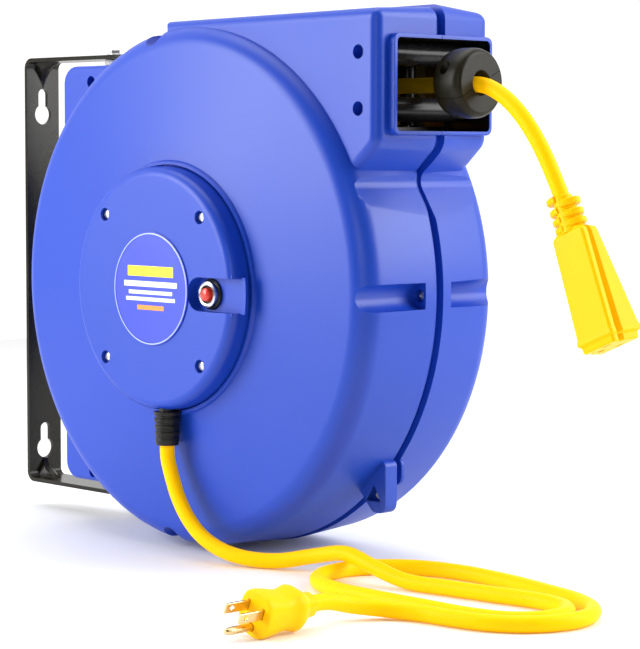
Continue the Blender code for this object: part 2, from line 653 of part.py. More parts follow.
def add_breaker():
    x, z = BREAKER
    low = CHANNEL_FLOOR
    body = fused(block((x - 11, x + 11), (-84.2, -62), (z - 10, z + 10)), rod((x, -90, z), (x, -83, z), 6.0, 20))
    add("breaker_body", cut(body, rod((x, -95, z), (x, -83.9, z), 5.0, 20)), BLACK, CASING)
    add("breaker_collar", tube((x, low - GAP, z), (x, low - 1.8, z), 10.3, 6.4, 24), BLACK, CASING)
    add("breaker_nut", tube((x, low - 2.1, z), (x, low - 5.0, z), 8.6, 6.3, 24), STEEL, CASING)
    button = lathe([(0, -86.6), (4.6, -86.6), (4.6, -93.2), (3.4, -94.2), (0, -94.4)], 20, centre=(x, 0, z))
    add("reset_button", button, RED, (x, -86.6, z))


def add_strain_relief():
    x, y = STRAIN
    top = -HUB_R - 0.6
    profile = [(CORD_R + 0.35, -80.0), (5.45, -80.0), (5.45, top), (9.3, top)]
    step = (top - STRAIN_END) / 5
    for i in range(5):
        z = top - step * i
        profile += [(9.3, z - 0.5 * step), (8.2, z - 0.6 * step), (8.2, z - 0.9 * step), (9.2 - 0.2 * i, z - step)]
    profile += [(CORD_R + 0.35, STRAIN_END)]
    profile[0] = (3.0, -80.0)
    profile[-1] = (3.0, STRAIN_END)
    add("strain_relief", lathe(profile, 14, "Z", (x, y, 0)), BLACK, CASING)


# Route of the supply cord: down from the hub cover, to the ground, then two flat loops and back to the plug.
SUPPLY_ROUTE = (
    (6.5, -86, -108), (6.8, -86, -116), (10.9, -86, -128), (18, -86, -143), (28, -86, -156), (41, -85, -167),
    (58, -82, -175), (78, -76, -179), (99, -66, -179), (122, -57, -174), (150, -55, -169), (178, -57, -174),
    (206, -56, -179.5), (240, -51, -180), (275, -46, -180), (305, -42, -180), (328, -46, -180), (343, -61, -180),
    (344, -82, -180), (330, -99, -180), (306, -106, -180), (270, -107.5, -180), (228, -108.5, -180),
    (190, -106, -180), (163, -93, -180), (149, -70, -180), (151, -40, -180), (172, -16, -180), (206, -6, -180),
    (250, -8, -180), (290, -16, -180), (325, -26, -180), (349, -43, -180), (359, -68, -180), (351, -95, -180),
    (330, -113, -180), (304, -119.5, -180), (281, -122.5, -180), (262, -132, -179), (252, -149, -176),
    (249.2, -164, -172.2), (249, -173, -171), (249, -181.6, -171),
)
PLUG_REAR = Vector((249.0, -182.0, -171.0))
PLUG_ROLL = 20.0
PLUG_LENGTH = 45.0


def plug_point(across, along, up):
    """A point on the plug: across and up on its face, turned by its roll, and along from its rear to its face."""
    c, s = math.cos(math.radians(PLUG_ROLL)), math.sin(math.radians(PLUG_ROLL))
    return PLUG_REAR + Vector((across * c + up * s, -along, up * c - across * s))


def plug_ring(along, half_w, half_h, drop=0.0):
    """A ring around the plug: round above, with a flatter foot where the ground pin is."""
    points = []
    for angle in np.radians(np.arange(0, 360, 22.5)):
        across = half_w * np.sign(math.cos(angle)) * abs(math.cos(angle)) ** 0.75
        up = half_h * np.sign(math.sin(angle)) * abs(math.sin(angle)) ** 0.75
        points.append(plug_point(across, along, up - drop))
    return points


def add_supply_cord():
    add_strain_relief()
    middle = smooth_route(SUPPLY_ROUTE[1:-1], 19.8)
    route = [Vector(SUPPLY_ROUTE[0])] + middle + [Vector(SUPPLY_ROUTE[-1])]
    route[1].x = route[0].x
    add_tube("supply_cord", route, CORD_R, YELLOW, CASING)
    rings = [plug_ring(0, 6.6, 6.6), plug_ring(9, 8.4, 8.2), plug_ring(14, 12.2, 11.6), plug_ring(24, 11.6, 11.8),
             plug_ring(33, 12.6, 13.4), plug_ring(PLUG_LENGTH, 12.8, 13.8)]
    slots = []
    for across in (-6.35, 6.35):
        slots.append(loft([[plug_point(across + a, along, 3.2 + b) for a, b in
                            ((-1.1, -3.6), (1.1, -3.6), (1.1, 3.6), (-1.1, 3.6))] for along in (34, 50)]))
    pin_slot = rod(plug_point(0, 34, -8.2), plug_point(0, 50, -8.2), 2.8, 12)
    add("plug_body", cut(loft(rings), *slots, pin_slot), YELLOW, CASING)
    for name, across in (("plug_blade_1", -6.35), ("plug_blade_2", 6.35)):
        blade = loft([[plug_point(across + a, along, 3.2 + b) for a, b in
                       ((-0.75, -shrink), (0.75, -shrink), (0.75, shrink), (-0.75, shrink))]
                      for along, shrink in ((34.4, 3.2), (PLUG_LENGTH + 16, 3.2), (PLUG_LENGTH + 18, 2.4))])
        add(name, blade, BRASS, CASING)
    pin = fused(rod(plug_point(0, 34.4, -8.2), plug_point(0, PLUG_LENGTH + 18, -8.2), 2.4, 12),
                rod(plug_point(0, PLUG_LENGTH + 17, -8.2), plug_point(0, PLUG_LENGTH + 20, -8.2), 1.4, 12))
    add("ground_pin", pin, BRASS, CASING)


# Route of the cord that is pulled out: straight through the rollers and the stop ball, then it droops to the tap.
OUTLET_ROUTE = (
    (0, 0, CORD_Z), (60, 0, CORD_Z), (125, 0, CORD_Z), (190, 0, CORD_Z), (212, 0, CORD_Z), (220.5, 0, 136.6),
    (227.5, 0, 134.2), (236, 0, 129.8), (244.6, 0, 123.6), (252.8, 0, 116), (260.4, 0, 107.4), (267.3, 0, 98),
    (273.4, 0, 88.4), (278.4, 0, 79.4), (282.6, 0, 71.6), (286.6, 0, 63.6),
)
BALL_BACK, BALL_FRONT = 189.0, 217.5
BALL_R = 22.8
BALL_SPLIT = 26.0
TAP_TOP = Vector((286.8, 0.0, 63.2))
TAP_AXIS = Vector((37.0, 0.0, -87.0)).normalized()


def add_ball():
    """A clamp in two halves around the cord, split along a plane through its axis."""
    bore = CORD_R + 0.7
    outline = [(bore, BALL_BACK), (12, BALL_BACK), (18, BALL_BACK + 2), (22, BALL_BACK + 7), (BALL_R, BALL_BACK + 13),
               (BALL_R, BALL_FRONT - 6), (20, BALL_FRONT - 0.5), (18.5, BALL_FRONT), (9, BALL_FRONT), (bore + 2.2, BALL_FRONT - 1)]
    turn = Matrix.Rotation(math.radians(BALL_SPLIT), 4, "X")
    for name, sign in (("stop_ball_upper", 1), ("stop_ball_lower", -1)):
        ball = lathe(outline + [(bore + 2.2, BALL_BACK + 25), (bore, BALL_BACK + 25)], 32, "X")
        keep = block((150, 250), (-60, 60), sorted((sign * 0.2, sign * 60)))
        bmesh.ops.transform(keep, matrix=turn, verts=keep.verts)
        wells = []
        for y in (-14.0, 14.0):
            low = turn @ Vector((205, y, sign * (9.0 if sign > 0 else 30.0)))
            high = turn @ Vector((205, y, sign * 30.0 if sign > 0 else sign * 9.0))
            wells.append(rod(low, high, 3.6, 12))
            wells.append(rod(turn @ Vector((205, y, -20)), turn @ Vector((205, y, 20)), 2.0, 8))
        half = cut(common(ball, keep), *wells)
        bmesh.ops.translate(half, verts=half.verts, vec=(0, 0, CORD_Z))
        add(name, half, GREY, (0, 0, CORD_Z))


def tap_point(along, across, depth):
    """A point on the tap: along its axis from its top, across it towards the reel's outer side, and towards -Y."""
    side = Vector((-TAP_AXIS.z, 0, TAP_AXIS.x))
    return TAP_TOP + TAP_AXIS * along + side * across + Vector((0, -depth, 0))


def tap_ring(along, half, deep, wing):
    """Section of the tap: a broad block on the -Y side, a groove on each flank, and wings that widen behind it."""
    side = [(half, deep), (half, deep - 5.5), (half - 1.6, deep - 7), (half + 0.3 * wing, deep - 8.6), (half + wing, -deep)]
    outline = side + [(-a, b) for a, b in reversed(side)]
    return [tap_point(along, across, depth) for across, depth in outline]


def add_cord_end():
    add_tube("outlet_cord", smooth_route(OUTLET_ROUTE, 13.0), CORD_R, YELLOW, (0, 0, CORD_Z))
    add_ball()
    ribs = []
    for i in range(3):
        start = 1.5 + 6.4 * i
        ribs.append(rod(tap_point(start, 0, 0), tap_point(start + 3.6, 0, 0), 10.8, 20))
    core = rod(tap_point(0.2, 0, 0), tap_point(28, 0, 0), 7.2, 20)
    body = loft([tap_ring(18.8, 9.0, 5.6, 0.1), tap_ring(21.5, 12.6, 6.8, 0.3), tap_ring(88, 14.2, 11.6, 4.3),
                 tap_ring(90, 13.4, 10.8, 3.8), tap_ring(96, 12.8, 10.2, 3.4)])
    slots = []
    for across in (-6.35, 6.35):
        slots.append(loft([[tap_point(along, 4.0 + a, across + b) for a, b in
                            ((-3.8, -1.0), (3.8, -1.0), (3.8, 1.0), (-3.8, 1.0))] for along in (78, 100)]))
    slots.append(rod(tap_point(78, -7.5, 0), tap_point(100, -7.5, 0), 2.5, 12))
    add("triple_tap", cut(fused(core, *ribs, body), *slots), YELLOW, (0, 0, CORD_Z))


def main():
    clear_scene()
    add_bracket()
    add_casing()
    add_mouth()
    add_drum()
    add_contacts()
    add_power_spring()
    add_pawl()
    add_breaker()
    add_supply_cord()
    add_cord_end()


main()
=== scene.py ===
"""Looks of a retractable extension cord reel on a wall bracket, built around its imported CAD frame.

Shapes are worked out in millimetres about the drum's centre: X out of the wall, Y along the axle, Z up.
The hub cover with the breaker is on the -Y side. placed() turns them into metres from the wall plate.
"""

import math

import bmesh
import bpy
import numpy as np
from bpy.props import FloatProperty, FloatVectorProperty, PointerProperty
from mathutils import Matrix, Vector


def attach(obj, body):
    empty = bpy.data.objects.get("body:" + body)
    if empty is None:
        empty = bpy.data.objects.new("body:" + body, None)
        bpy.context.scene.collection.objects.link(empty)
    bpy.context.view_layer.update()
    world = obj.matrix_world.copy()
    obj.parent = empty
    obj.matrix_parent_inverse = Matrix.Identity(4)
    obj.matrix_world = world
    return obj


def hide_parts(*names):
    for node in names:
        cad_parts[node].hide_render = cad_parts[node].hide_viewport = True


bl_info = {
    "name": "Retractable cord reel",
    "version": (1, 0, 0),
    "blender": (4, 5, 0),
    "location": "3D View > Sidebar > Cord Reel",
    "description": "Builds the casing, cords, fittings and studio of a wall-mounted cord reel",
    "category": "Object",
}

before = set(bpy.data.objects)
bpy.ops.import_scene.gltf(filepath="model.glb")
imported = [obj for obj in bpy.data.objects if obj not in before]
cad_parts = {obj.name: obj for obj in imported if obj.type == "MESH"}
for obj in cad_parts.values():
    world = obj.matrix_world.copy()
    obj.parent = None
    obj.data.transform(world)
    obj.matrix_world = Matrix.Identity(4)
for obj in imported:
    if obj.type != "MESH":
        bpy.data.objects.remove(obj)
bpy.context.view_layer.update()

MM = 0.001
DRUM_X = 247.0
NUDGES = (0.0, 0.004, -0.007, 0.011, -0.017, 0.023, 0.031)

# Bracket
STRAP_T = 3.0
STRAP_HALF_W = 15.5
STRAP_HALF_H = 165.8
ARM_END_X = -136.0
PIVOT_X = -150.5
PIVOT_R = 5.0
BOX_TOP, BOX_BOTTOM = 158.0, -153.5

# Casing
ROUND = 176
WALL = 3.0
SEAM = 2.5
LIP = 6.0
FILLET_R = 17.0
HUB_R = 84.0
FRONT = {"side": -1, "face": 68.7, "seat": 76.2, "seam_r": 182.6, "fillet_r": 163.5, "mouth": 57.5,
         "box": 40.0}
REAR = {"side": 1, "face": 60.2, "seat": 67.7, "seam_r": 183.5, "fillet_r": 163.5, "mouth": 51.7, "box": 40.0}
HUB_RISE = 9.3
FRONT_HUB_TOP = 94.6
REAR_HUB_TOP = 84.0
POCKETS = (0.0, 101.0, 265.0)
POCKET_R = 179.5
POCKET_BORE = 9.0
ROLLER_X = 162.7
ROLLER_Z = (121.8, 158.2)
ROLLER_R = 8.0
SIDE_ROLLER_X = 138.0
SIDE_ROLLER_Y = 14.0
BOX_SCREWS = ((-133.5, 145.0), (-133.5, -145.0))
LUG_SCREW = (135.2, -136.7)
HUB_SCREWS = ((-50.0, 50.0), (50.0, 50.0), (-50.0, -50.0), (50.0, -50.0))
BREAKER = (54.4, -1.5)
CHANNEL_FLOOR = 87.0

# Mouth and cords
CORD_R = 5.1
CORD_Z = 137.6
MOUTH_HALF_Y = 44.3
MOUTH_LOW, MOUTH_HIGH = 107.5, 167.5
LIP_X = 185.2
# Two corners, in metres from the wall plate, of the space inside the mouth at rest, where painted shade
# darkens the casing and the cord.
MOUTH_BOX = ((0.357, -0.0447, 0.1071), (0.4314, 0.0447, 0.1679))
BALL_BACK, BALL_FRONT, BALL_R, BALL_SPLIT = 189.0, 217.5, 22.8, 26.0
BALL_Z = CORD_Z + 0.7
STRAIN = (6.5, -86.0)
STRAIN_TOP, STRAIN_END = -84.6, -107.7
FLOOR_Z = -185.2

SUPPLY_ROUTE = (
    (6.5, -86, -108), (6.8, -86, -116), (10.9, -86, -128), (18, -86, -143), (28, -86, -156), (41, -85, -167),
    (58, -82, -175), (78, -76, -179), (99, -66, -179), (122, -57, -174), (150, -55, -169), (178, -57, -174),
    (206, -56, -179.5), (240, -51, -180), (275, -46, -180), (305, -42, -180), (328, -46, -180),
                (343, -61, -180),
    (344, -82, -180), (330, -99, -180), (306, -106, -180), (270, -107.5, -180), (228, -108.5, -180),
    (190, -106, -180), (163, -93, -180), (149, -70, -180), (151, -40, -180), (172, -16, -180),
                (206, -6, -180),
    (250, -8, -180), (290, -16, -180), (325, -26, -180), (349, -43, -180), (359, -68, -180), (351, -95, -180),
    (330, -113, -180), (304, -119.5, -180), (281, -122.5, -180), (262, -132, -179), (252, -149, -176),
    (249.2, -164, -172.2), (249, -173, -171), (249, -181.6, -171),
)
PLUG_REAR = (249.0, -182.0, -171.0)
PLUG_ROLL = 20.0
PLUG_LENGTH = 45.0
OUTLET_ROUTE = (
    (0, 0, CORD_Z), (60, 0, CORD_Z), (125, 0, CORD_Z), (190, 0, CORD_Z), (212, 0, CORD_Z), (220.5, 0, 136.6),
    (227.5, 0, 134.2), (236, 0, 129.8), (244.6, 0, 123.6), (252.8, 0, 116), (260.4, 0, 107.4), (267.3, 0, 98),
    (273.4, 0, 88.4), (278.4, 0, 79.4), (282.6, 0, 71.6), (286.6, 0, 63.6),
)
TAP_TOP = (286.8, 0.0, 63.2)
TAP_AXIS = np.array((37.0, 0.0, -87.0)) / math.hypot(37.0, 87.0)


# ---------------------------------------------------------------- surfaces


def grid_faces(rows, columns, joined_rows=False):
    """Quads of a grid whose columns close on themselves: each joins a point, its neighbour and the two
    below."""
    row = np.arange(rows if joined_rows else rows - 1)[:, None]
    column = np.arange(columns)[None, :]
    here, below = row * columns, (row + 1) % rows * columns
    beside = (column + 1) % columns
    return np.stack([here + column, here + beside, below + beside, below + column], -1).reshape(-1, 4)


def skin(rings, hollow=False):
    """A closed shape through rings of points: rings[k, j] is point j of ring k. Flat caps close both ends,
    or the
    last ring joins the first on a hollow shape."""
    rings = np.asarray(rings, float)
    rows, columns = rings.shape[:2]
    faces = grid_faces(rows, columns, hollow).tolist()
    if not hollow:
        faces += [list(range(columns)), list(range((rows - 1) * columns, rows * columns))]
    mesh = bpy.data.meshes.new("shape")
    mesh.from_pydata(rings.reshape(-1, 3).tolist(), [], faces)
    return repaired(mesh)


def repaired(mesh):
    """The mesh with twisted faces split and every face turned outwards."""
    bm = bmesh.new()
    bm.from_mesh(mesh)
    bmesh.ops.connect_verts_nonplanar(bm, angle_limit=0.0005, faces=[f for f in bm.faces if len(f.verts) > 4])
    bmesh.ops.recalc_face_normals(bm, faces=bm.faces)
    bm.to_mesh(mesh)
    bm.free()
    return mesh


def around(axis, along, across):
    """Points with this place along an axis and these (a, b) across it, in X, Y, Z order."""
    a, b = across
    along = np.broadcast_to(along, np.shape(a))
    order = {"X": (along, a, b), "Y": (a, along, b), "Z": (a, b, along)}[axis]
    return np.stack(order, -1)


def turned(profile, sides=64, axis="Y", centre=(0, 0, 0), hollow=False):
    """A profile of (radius r, height h) turned about an axis: the point at angle a is (r cos a, r sin a,
    h)."""
    r, h = np.asarray(profile, float).T[:, :, None]
    a = np.linspace(0, math.tau, sides, endpoint=False)[None, :]
    return skin(around(axis, h * np.ones_like(a), (r * np.cos(a), r * np.sin(a))) + np.asarray(centre),
                hollow)


def rod(start, end, radius, sides=24, bevel=0.0):
    """A round bar between two points: circles about its line, smaller by the bevel at both ends."""
    start, end = np.asarray(start, float), np.asarray(end, float)
    line = (end - start) / np.linalg.norm(end - start)
    steps = [(0, radius - bevel), (bevel, radius)] if bevel else [(0, radius)]
    ends = [(start + line * d, r) for d, r in steps] + [(end - line * d, r) for d, r in reversed(steps)]
    u, v = cross_axes(line)
    a = np.linspace(0, math.tau, sides, endpoint=False)[:, None]
    return skin([p + r * (np.cos(a) * u + np.sin(a) * v) for p, r in ends])


def cross_axes(line):
    """Two unit directions square to a line and to each other."""
    side = np.array((0.0, 0.0, 1.0)) if abs(line[2]) < 0.9 else np.array((1.0, 0.0, 0.0))
    u = np.cross(side, line)
    u /= np.linalg.norm(u)
    return u, np.cross(line, u)


def box(x, y, z):
    """An upright box between two values on each axis."""
    corners = [(x[0], z[0]), (x[1], z[0]), (x[1], z[1]), (x[0], z[1])]
    return prism(corners, *y)


def prism(outline, low, high, axis="Y"):
    """An outline carried straight along an axis: (x, z) along Y, (y, z) along X and (x, y) along Z."""
    a, b = np.asarray(outline, float).T
    return skin([around(axis, h, (a, b)) for h in (low, high)])


def arc(centre, radius, start, end, steps):
    """(x, z) on a circle's part: centre plus radius times (cos a, sin a), a in degrees."""
    a = np.radians(np.linspace(start, end, steps + 1))
    return list(zip(centre[0] + radius * np.cos(a), centre[1] + radius * np.sin(a)))


def rounded(lines, radii, inset, steps):
    """A closed outline inside straight lines (nx, nz, d) with nx x + nz z = d - inset. Neighbouring lines
    meet in a
    corner, which is replaced by an arc of its radius that touches both."""
    points = []
    count = len(lines)
    for i in range(count):
        (ax, az, ad), (bx, bz, bd) = lines[i], lines[(i + 1) % count]
        corner = np.linalg.solve([[ax, az], [bx, bz]], [ad - inset, bd - inset])
        radius = radii[i]
        if radius <= 0:
            points.append(tuple(corner))
            continue
        radius = max(radius - inset, 1.5)
        half = math.acos(max(-1, min(1, ax * bx + az * bz))) / 2
        centre = corner - radius / math.cos(half) * np.array((ax + bx, az + bz)) / np.linalg.norm((ax + bx,
                                                                                                   az + bz))
        first, last = math.degrees(math.atan2(az, ax)), math.degrees(math.atan2(bz, bx))
        last = first + (last - first + 180) % 360 - 180
        points += arc(centre, radius, first, last, steps)
    return points


def smooth_route(points, spacing):
    """Points about a spacing apart on the centripetal Catmull-Rom curve through the route's own points."""
    route = np.asarray(points, float)
    route = np.vstack([2 * route[0] - route[1], route, 2 * route[-1] - route[-2]])
    fine = []
    for p0, p1, p2, p3 in zip(route, route[1:], route[2:], route[3:]):
        t1 = np.linalg.norm(p1 - p0) ** 0.5
        t2 = t1 + np.linalg.norm(p2 - p1) ** 0.5
        t3 = t2 + np.linalg.norm(p3 - p2) ** 0.5
        t = np.linspace(t1, t2, 24, endpoint=False)[:, None]
        a1 = p0 * (t1 - t) / t1 + p1 * t / t1
        a2 = p1 * (t2 - t) / (t2 - t1) + p2 * (t - t1) / (t2 - t1)
        a3 = p2 * (t3 - t) / (t3 - t2) + p3 * (t - t2) / (t3 - t2)
        b1 = a1 * (t2 - t) / t2 + a2 * t / t2
        b2 = a2 * (t3 - t) / (t3 - t1) + a3 * (t - t1) / (t3 - t1)
        fine.append(b1 * (t2 - t) / (t2 - t1) + b2 * (t - t1) / (t2 - t1))
    fine = np.vstack(fine + [route[-2:-1]])
    return even_points(fine, spacing)


def even_points(points, spacing):
    """Evenly spaced points along the straight steps through the given ones."""
    along = np.concatenate([[0], np.cumsum(np.linalg.norm(np.diff(points, axis=0), axis=1))])
    wanted = np.linspace(0, along[-1], max(2, round(along[-1] / spacing)) + 1)
    return np.stack([np.interp(wanted, along, points[:, k]) for k in range(3)], -1)


def tube(path, radius, sides=20):
    """A circle carried along a path: its two cross directions turn no more than the path does."""
    path = np.asarray(path, float)
    lines = np.gradient(path, axis=0)
    lines /= np.linalg.norm(lines, axis=1)[:, None]
    u = cross_axes(lines[0])[0]
    sideways = []
    for line in lines:
        u = u - line * (u @ line)
        u /= np.linalg.norm(u)
        sideways.append(u)
    u = np.array(sideways)[:, None, :]
    v = np.cross(lines[:, None, :], u)
    a = np.linspace(0, math.tau, sides, endpoint=False)[None, :, None]
    radius = np.broadcast_to(radius, len(path))[:, None, None]
    return skin(path[:, None, :] + radius * (np.cos(a) * u + np.sin(a) * v))


# ---------------------------------------------------------------- joining and cutting


def closed(bm):
    """Whether every edge of a shape has exactly two faces."""
    return bool(bm.faces) and all(len(edge.link_faces) == 2 for edge in bm.edges)


def one_boolean(base, tool, operation, nudge):
    """One Boolean step with narrow slits filled, and whether the shape it leaves is closed."""
    made = []
    for mesh, shift in ((base, 0.0), (tool, nudge)):
        obj = bpy.data.objects.new("shape", mesh)
        obj.location = (shift, 0.7 * shift, 0.4 * shift)
        bpy.context.scene.collection.objects.link(obj)
        made.append(obj)
    step = made[0].modifiers.new("step", "BOOLEAN")
    step.operation = operation
    step.solver = "EXACT"
    step.object = made[1]
    mesh = bpy.data.meshes.new_from_object(made[0].evaluated_get(bpy.context.evaluated_depsgraph_get()))
    for obj in made:
        bpy.data.objects.remove(obj)
    bm = bmesh.new()
    bm.from_mesh(mesh)
    bmesh.ops.dissolve_limit(bm, angle_limit=0.001, verts=bm.verts, edges=bm.edges)
    slits = [edge for edge in bm.edges if edge.is_boundary]
    bmesh.ops.holes_fill(bm, edges=slits, sides=4)
    whole = closed(bm)
    bm.to_mesh(mesh)
    bm.free()
    return mesh, whole


def combined(base, tools, operation):
    """Booleans one after another. A tool whose faces meet the base too exactly is moved by a few
    micrometres."""
    for tool in tools:
        for nudge in NUDGES:
            mesh, whole = one_boolean(base, tool, operation, nudge)
            if whole:
                break
        else:
            raise RuntimeError("a cut or a join left an open surface")
        base = mesh
    return base


def cut(base, *tools):
    """The base with every tool taken away."""
    return combined(base, tools, "DIFFERENCE")


def joined(base, *tools):
    """The base and every tool made one shape."""
    return combined(base, tools, "UNION")


def common(base, *tools):
    """The part of the base that lies inside every tool."""
    return combined(base, tools, "INTERSECT")


# ---------------------------------------------------------------- materials


def group_socket(group, name, kind, way, value=None):
    """A named input or output of a node group."""
    socket = group.interface.new_socket(name=name, in_out=way, socket_type=kind)
    if value is not None:
        socket.default_value = value
    return socket


def grain_group():
    """Fine grain and slow variation of a surface: a fine noise for height, a slow one for tone and
    roughness, and
    thin stretched streaks where the slow noise is high."""
    group = bpy.data.node_groups.get("Surface Grain")
    if group:
        return group
    group = bpy.data.node_groups.new("Surface Grain", "ShaderNodeTree")
    for name, value in (("Grain Size", 900.0), ("Patch Size", 14.0), ("Roughness", 0.4), ("Spread", 0.1),
                        ("Streaks", 0.0)):
        group_socket(group, name, "NodeSocketFloat", "INPUT", value)
    for name in ("Height", "Tone", "Roughness"):
        group_socket(group, name, "NodeSocketFloat", "OUTPUT")
    nodes, links = group.nodes, group.links
    entry, leave = nodes.new("NodeGroupInput"), nodes.new("NodeGroupOutput")
    place = nodes.new("ShaderNodeTexCoord")
    fine, slow, streak = (nodes.new("ShaderNodeTexNoise") for _ in range(3))
    fine.inputs["Detail"].default_value = 3.0
    slow.inputs["Detail"].default_value = 4.0
    streak.inputs["Scale"].default_value = 1.0
    stretch = nodes.new("ShaderNodeMapping")
    stretch.inputs["Scale"].default_value = (30.0, 400.0, 260.0)
    links.new(place.outputs["Object"], fine.inputs["Vector"])
    links.new(place.outputs["Object"], slow.inputs["Vector"])
    links.new(place.outputs["Object"], stretch.inputs["Vector"])
    links.new(stretch.outputs["Vector"], streak.inputs["Vector"])
    links.new(entry.outputs["Grain Size"], fine.inputs["Scale"])
    links.new(entry.outputs["Patch Size"], slow.inputs["Scale"])
    centred = math_node(group, "SUBTRACT", slow.outputs["Fac"], 0.5)
    spread = math_node(group, "MULTIPLY", centred, entry.outputs["Spread"])
    rough = math_node(group, "ADD", spread, entry.outputs["Roughness"])
    lines = math_node(group, "MULTIPLY", streak.outputs["Fac"], entry.outputs["Streaks"])
    height = math_node(group, "ADD", fine.outputs["Fac"], lines)
    links.new(height, leave.inputs["Height"])
    links.new(slow.outputs["Fac"], leave.inputs["Tone"])
    links.new(rough, leave.inputs["Roughness"])
    return group


def painted_shade_box_group():
    """Mask of an upright box, where painted shade goes: one where the point, measured from the centre in half
    sizes, is under one each way."""
    group = bpy.data.node_groups.get("Box Mask")
    if group:
        return group
    group = bpy.data.node_groups.new("Box Mask", "ShaderNodeTree")
    group_socket(group, "Centre", "NodeSocketVector", "INPUT", (0.0, 0.0, 0.0))
    group_socket(group, "Half Size", "NodeSocketVector", "INPUT", (1.0, 1.0, 1.0))
    group_socket(group, "Mask", "NodeSocketFloat", "OUTPUT")
    nodes, links = group.nodes, group.links
    entry, leave = nodes.new("NodeGroupInput"), nodes.new("NodeGroupOutput")
    value = nodes.new("ShaderNodeTexCoord").outputs["Object"]
    for operation, other in (("SUBTRACT", "Centre"), ("ABSOLUTE", None), ("DIVIDE", "Half Size")):
        step = nodes.new("ShaderNodeVectorMath")
        step.operation = operation
        links.new(value, step.inputs[0])
        if other:
            links.new(entry.outputs[other], step.inputs[1])
        value = step.outputs["Vector"]
    split = nodes.new("ShaderNodeSeparateXYZ")
    links.new(value, split.inputs["Vector"])
    widest = math_node(group, "MAXIMUM", split.outputs["X"], split.outputs["Y"])
    widest = math_node(group, "MAXIMUM", widest, split.outputs["Z"])
    links.new(math_node(group, "LESS_THAN", widest, 1.0), leave.inputs["Mask"])
    return group


def math_node(tree, operation, first, second=None):
    """The output of a new math node fed by sockets or plain numbers."""
    node = tree.nodes.new("ShaderNodeMath")
    node.operation = operation
    for socket, value in zip(node.inputs, (first, second)):
        if isinstance(value, (int, float)):
            socket.default_value = value
        elif value is not None:
            tree.links.new(value, socket)
    return node.outputs[0]


def finish(name, light, dark, roughness, spread=0.1, metallic=0.0, grain=900.0, patch=14.0, bump=0.05,
           depth=0.0002,
           coat=0.0, streaks=0.0, specular=0.5, glow=0.0, recess=None):
    """A moulded, coated or metal surface: colour between two tones, varied roughness and a fine relief. A
    glow paints light, and a recess colour paints shade inside the mouth.
    """
    material = bpy.data.materials.get(name)
    if material:
        return material
    material = bpy.data.materials.new(name)
    material.use_nodes = True
    tree = material.node_tree
    shader = tree.nodes["Principled BSDF"]
    shader.inputs["Metallic"].default_value = metallic
    shader.inputs["Coat Weight"].default_value = coat
    shader.inputs["Coat Roughness"].default_value = 0.12
    shader.inputs["Specular IOR Level"].default_value = specular
    shader.inputs["Emission Strength"].default_value = glow
    surface = tree.nodes.new("ShaderNodeGroup")
    surface.node_tree = grain_group()
    surface.inputs["Grain Size"].default_value = grain
    surface.inputs["Patch Size"].default_value = patch
    surface.inputs["Roughness"].default_value = roughness
    surface.inputs["Spread"].default_value = spread
    surface.inputs["Streaks"].default_value = streaks
    tone = tree.nodes.new("ShaderNodeMix")
    tone.data_type = "RGBA"
    tone.inputs["A"].default_value = (*dark, 1.0)
    tone.inputs["B"].default_value = (*light, 1.0)
    relief = tree.nodes.new("ShaderNodeBump")
    relief.inputs["Strength"].default_value = bump
    relief.inputs["Distance"].default_value = depth
    tree.links.new(surface.outputs["Tone"], tone.inputs["Factor"])
    colour = tone.outputs["Result"]
    # Painted shade: inside the mouth box the colour is swapped for the recess colour, a dark tone that stands
    # in for shade.
    if recess:
        inside = tree.nodes.new("ShaderNodeGroup")
        inside.node_tree = painted_shade_box_group()
        low, high = (np.array(corner) for corner in MOUTH_BOX)
        inside.inputs["Centre"].default_value = tuple((low + high) / 2)
        inside.inputs["Half Size"].default_value = tuple((high - low) / 2)
        shaded = tree.nodes.new("ShaderNodeMix")
        shaded.data_type = "RGBA"
        shaded.inputs["B"].default_value = (*recess, 1.0)
        tree.links.new(inside.outputs["Mask"], shaded.inputs["Factor"])
        tree.links.new(colour, shaded.inputs["A"])
        colour = shaded.outputs["Result"]
    tree.links.new(colour, shader.inputs["Base Color"])
    # Painted light: the glow makes the surface give off its own colour though it is no lamp.
    if glow:
        tree.links.new(colour, shader.inputs["Emission Color"])
    tree.links.new(surface.outputs["Roughness"], shader.inputs["Roughness"])
    tree.links.new(surface.outputs["Height"], relief.inputs["Height"])
    tree.links.new(relief.outputs["Normal"], shader.inputs["Normal"])
    return material


def shades(colour, spread=0.12):
    """A lighter and a darker tone of a colour."""
    return tuple(min(1.0, c * (1 + spread)) for c in colour), tuple(c * (1 - spread) for c in colour)


def casing_finish():
    """Blue moulded plastic, with painted shade that makes the walls inside the mouth near black."""
    light, dark = shades(bpy.context.scene.cord_reel.casing_colour, 0.05)
    return finish("Casing Blue", light, dark, 0.40, 0.10, grain=1500.0, patch=9.0, bump=0.10, depth=0.00015,
                  specular=0.45, recess=(0.003, 0.003, 0.005))


def cord_finish():
    """Yellow cord jacket with a slight glow, which is painted light. The stretch that lies in the mouth at
    rest is dark with painted shade, and it stays dark when the cord is pulled out."""
    light, dark = shades(bpy.context.scene.cord_reel.cord_colour, 0.03)
    return finish("Cord Yellow", light, dark, 0.42, 0.12, grain=700.0, patch=30.0, bump=0.08, depth=0.0002,
                  specular=0.06, glow=0.26, recess=(0.09, 0.055, 0.001))


def moulded_yellow():
    """Yellow moulded plastic with a slight glow, which is painted light."""
    light, dark = shades(bpy.context.scene.cord_reel.cord_colour, 0.04)
    return finish("Moulded Yellow", light, dark, 0.36, 0.12, grain=1200.0, patch=40.0, bump=0.06,
                  specular=0.08, glow=0.12)


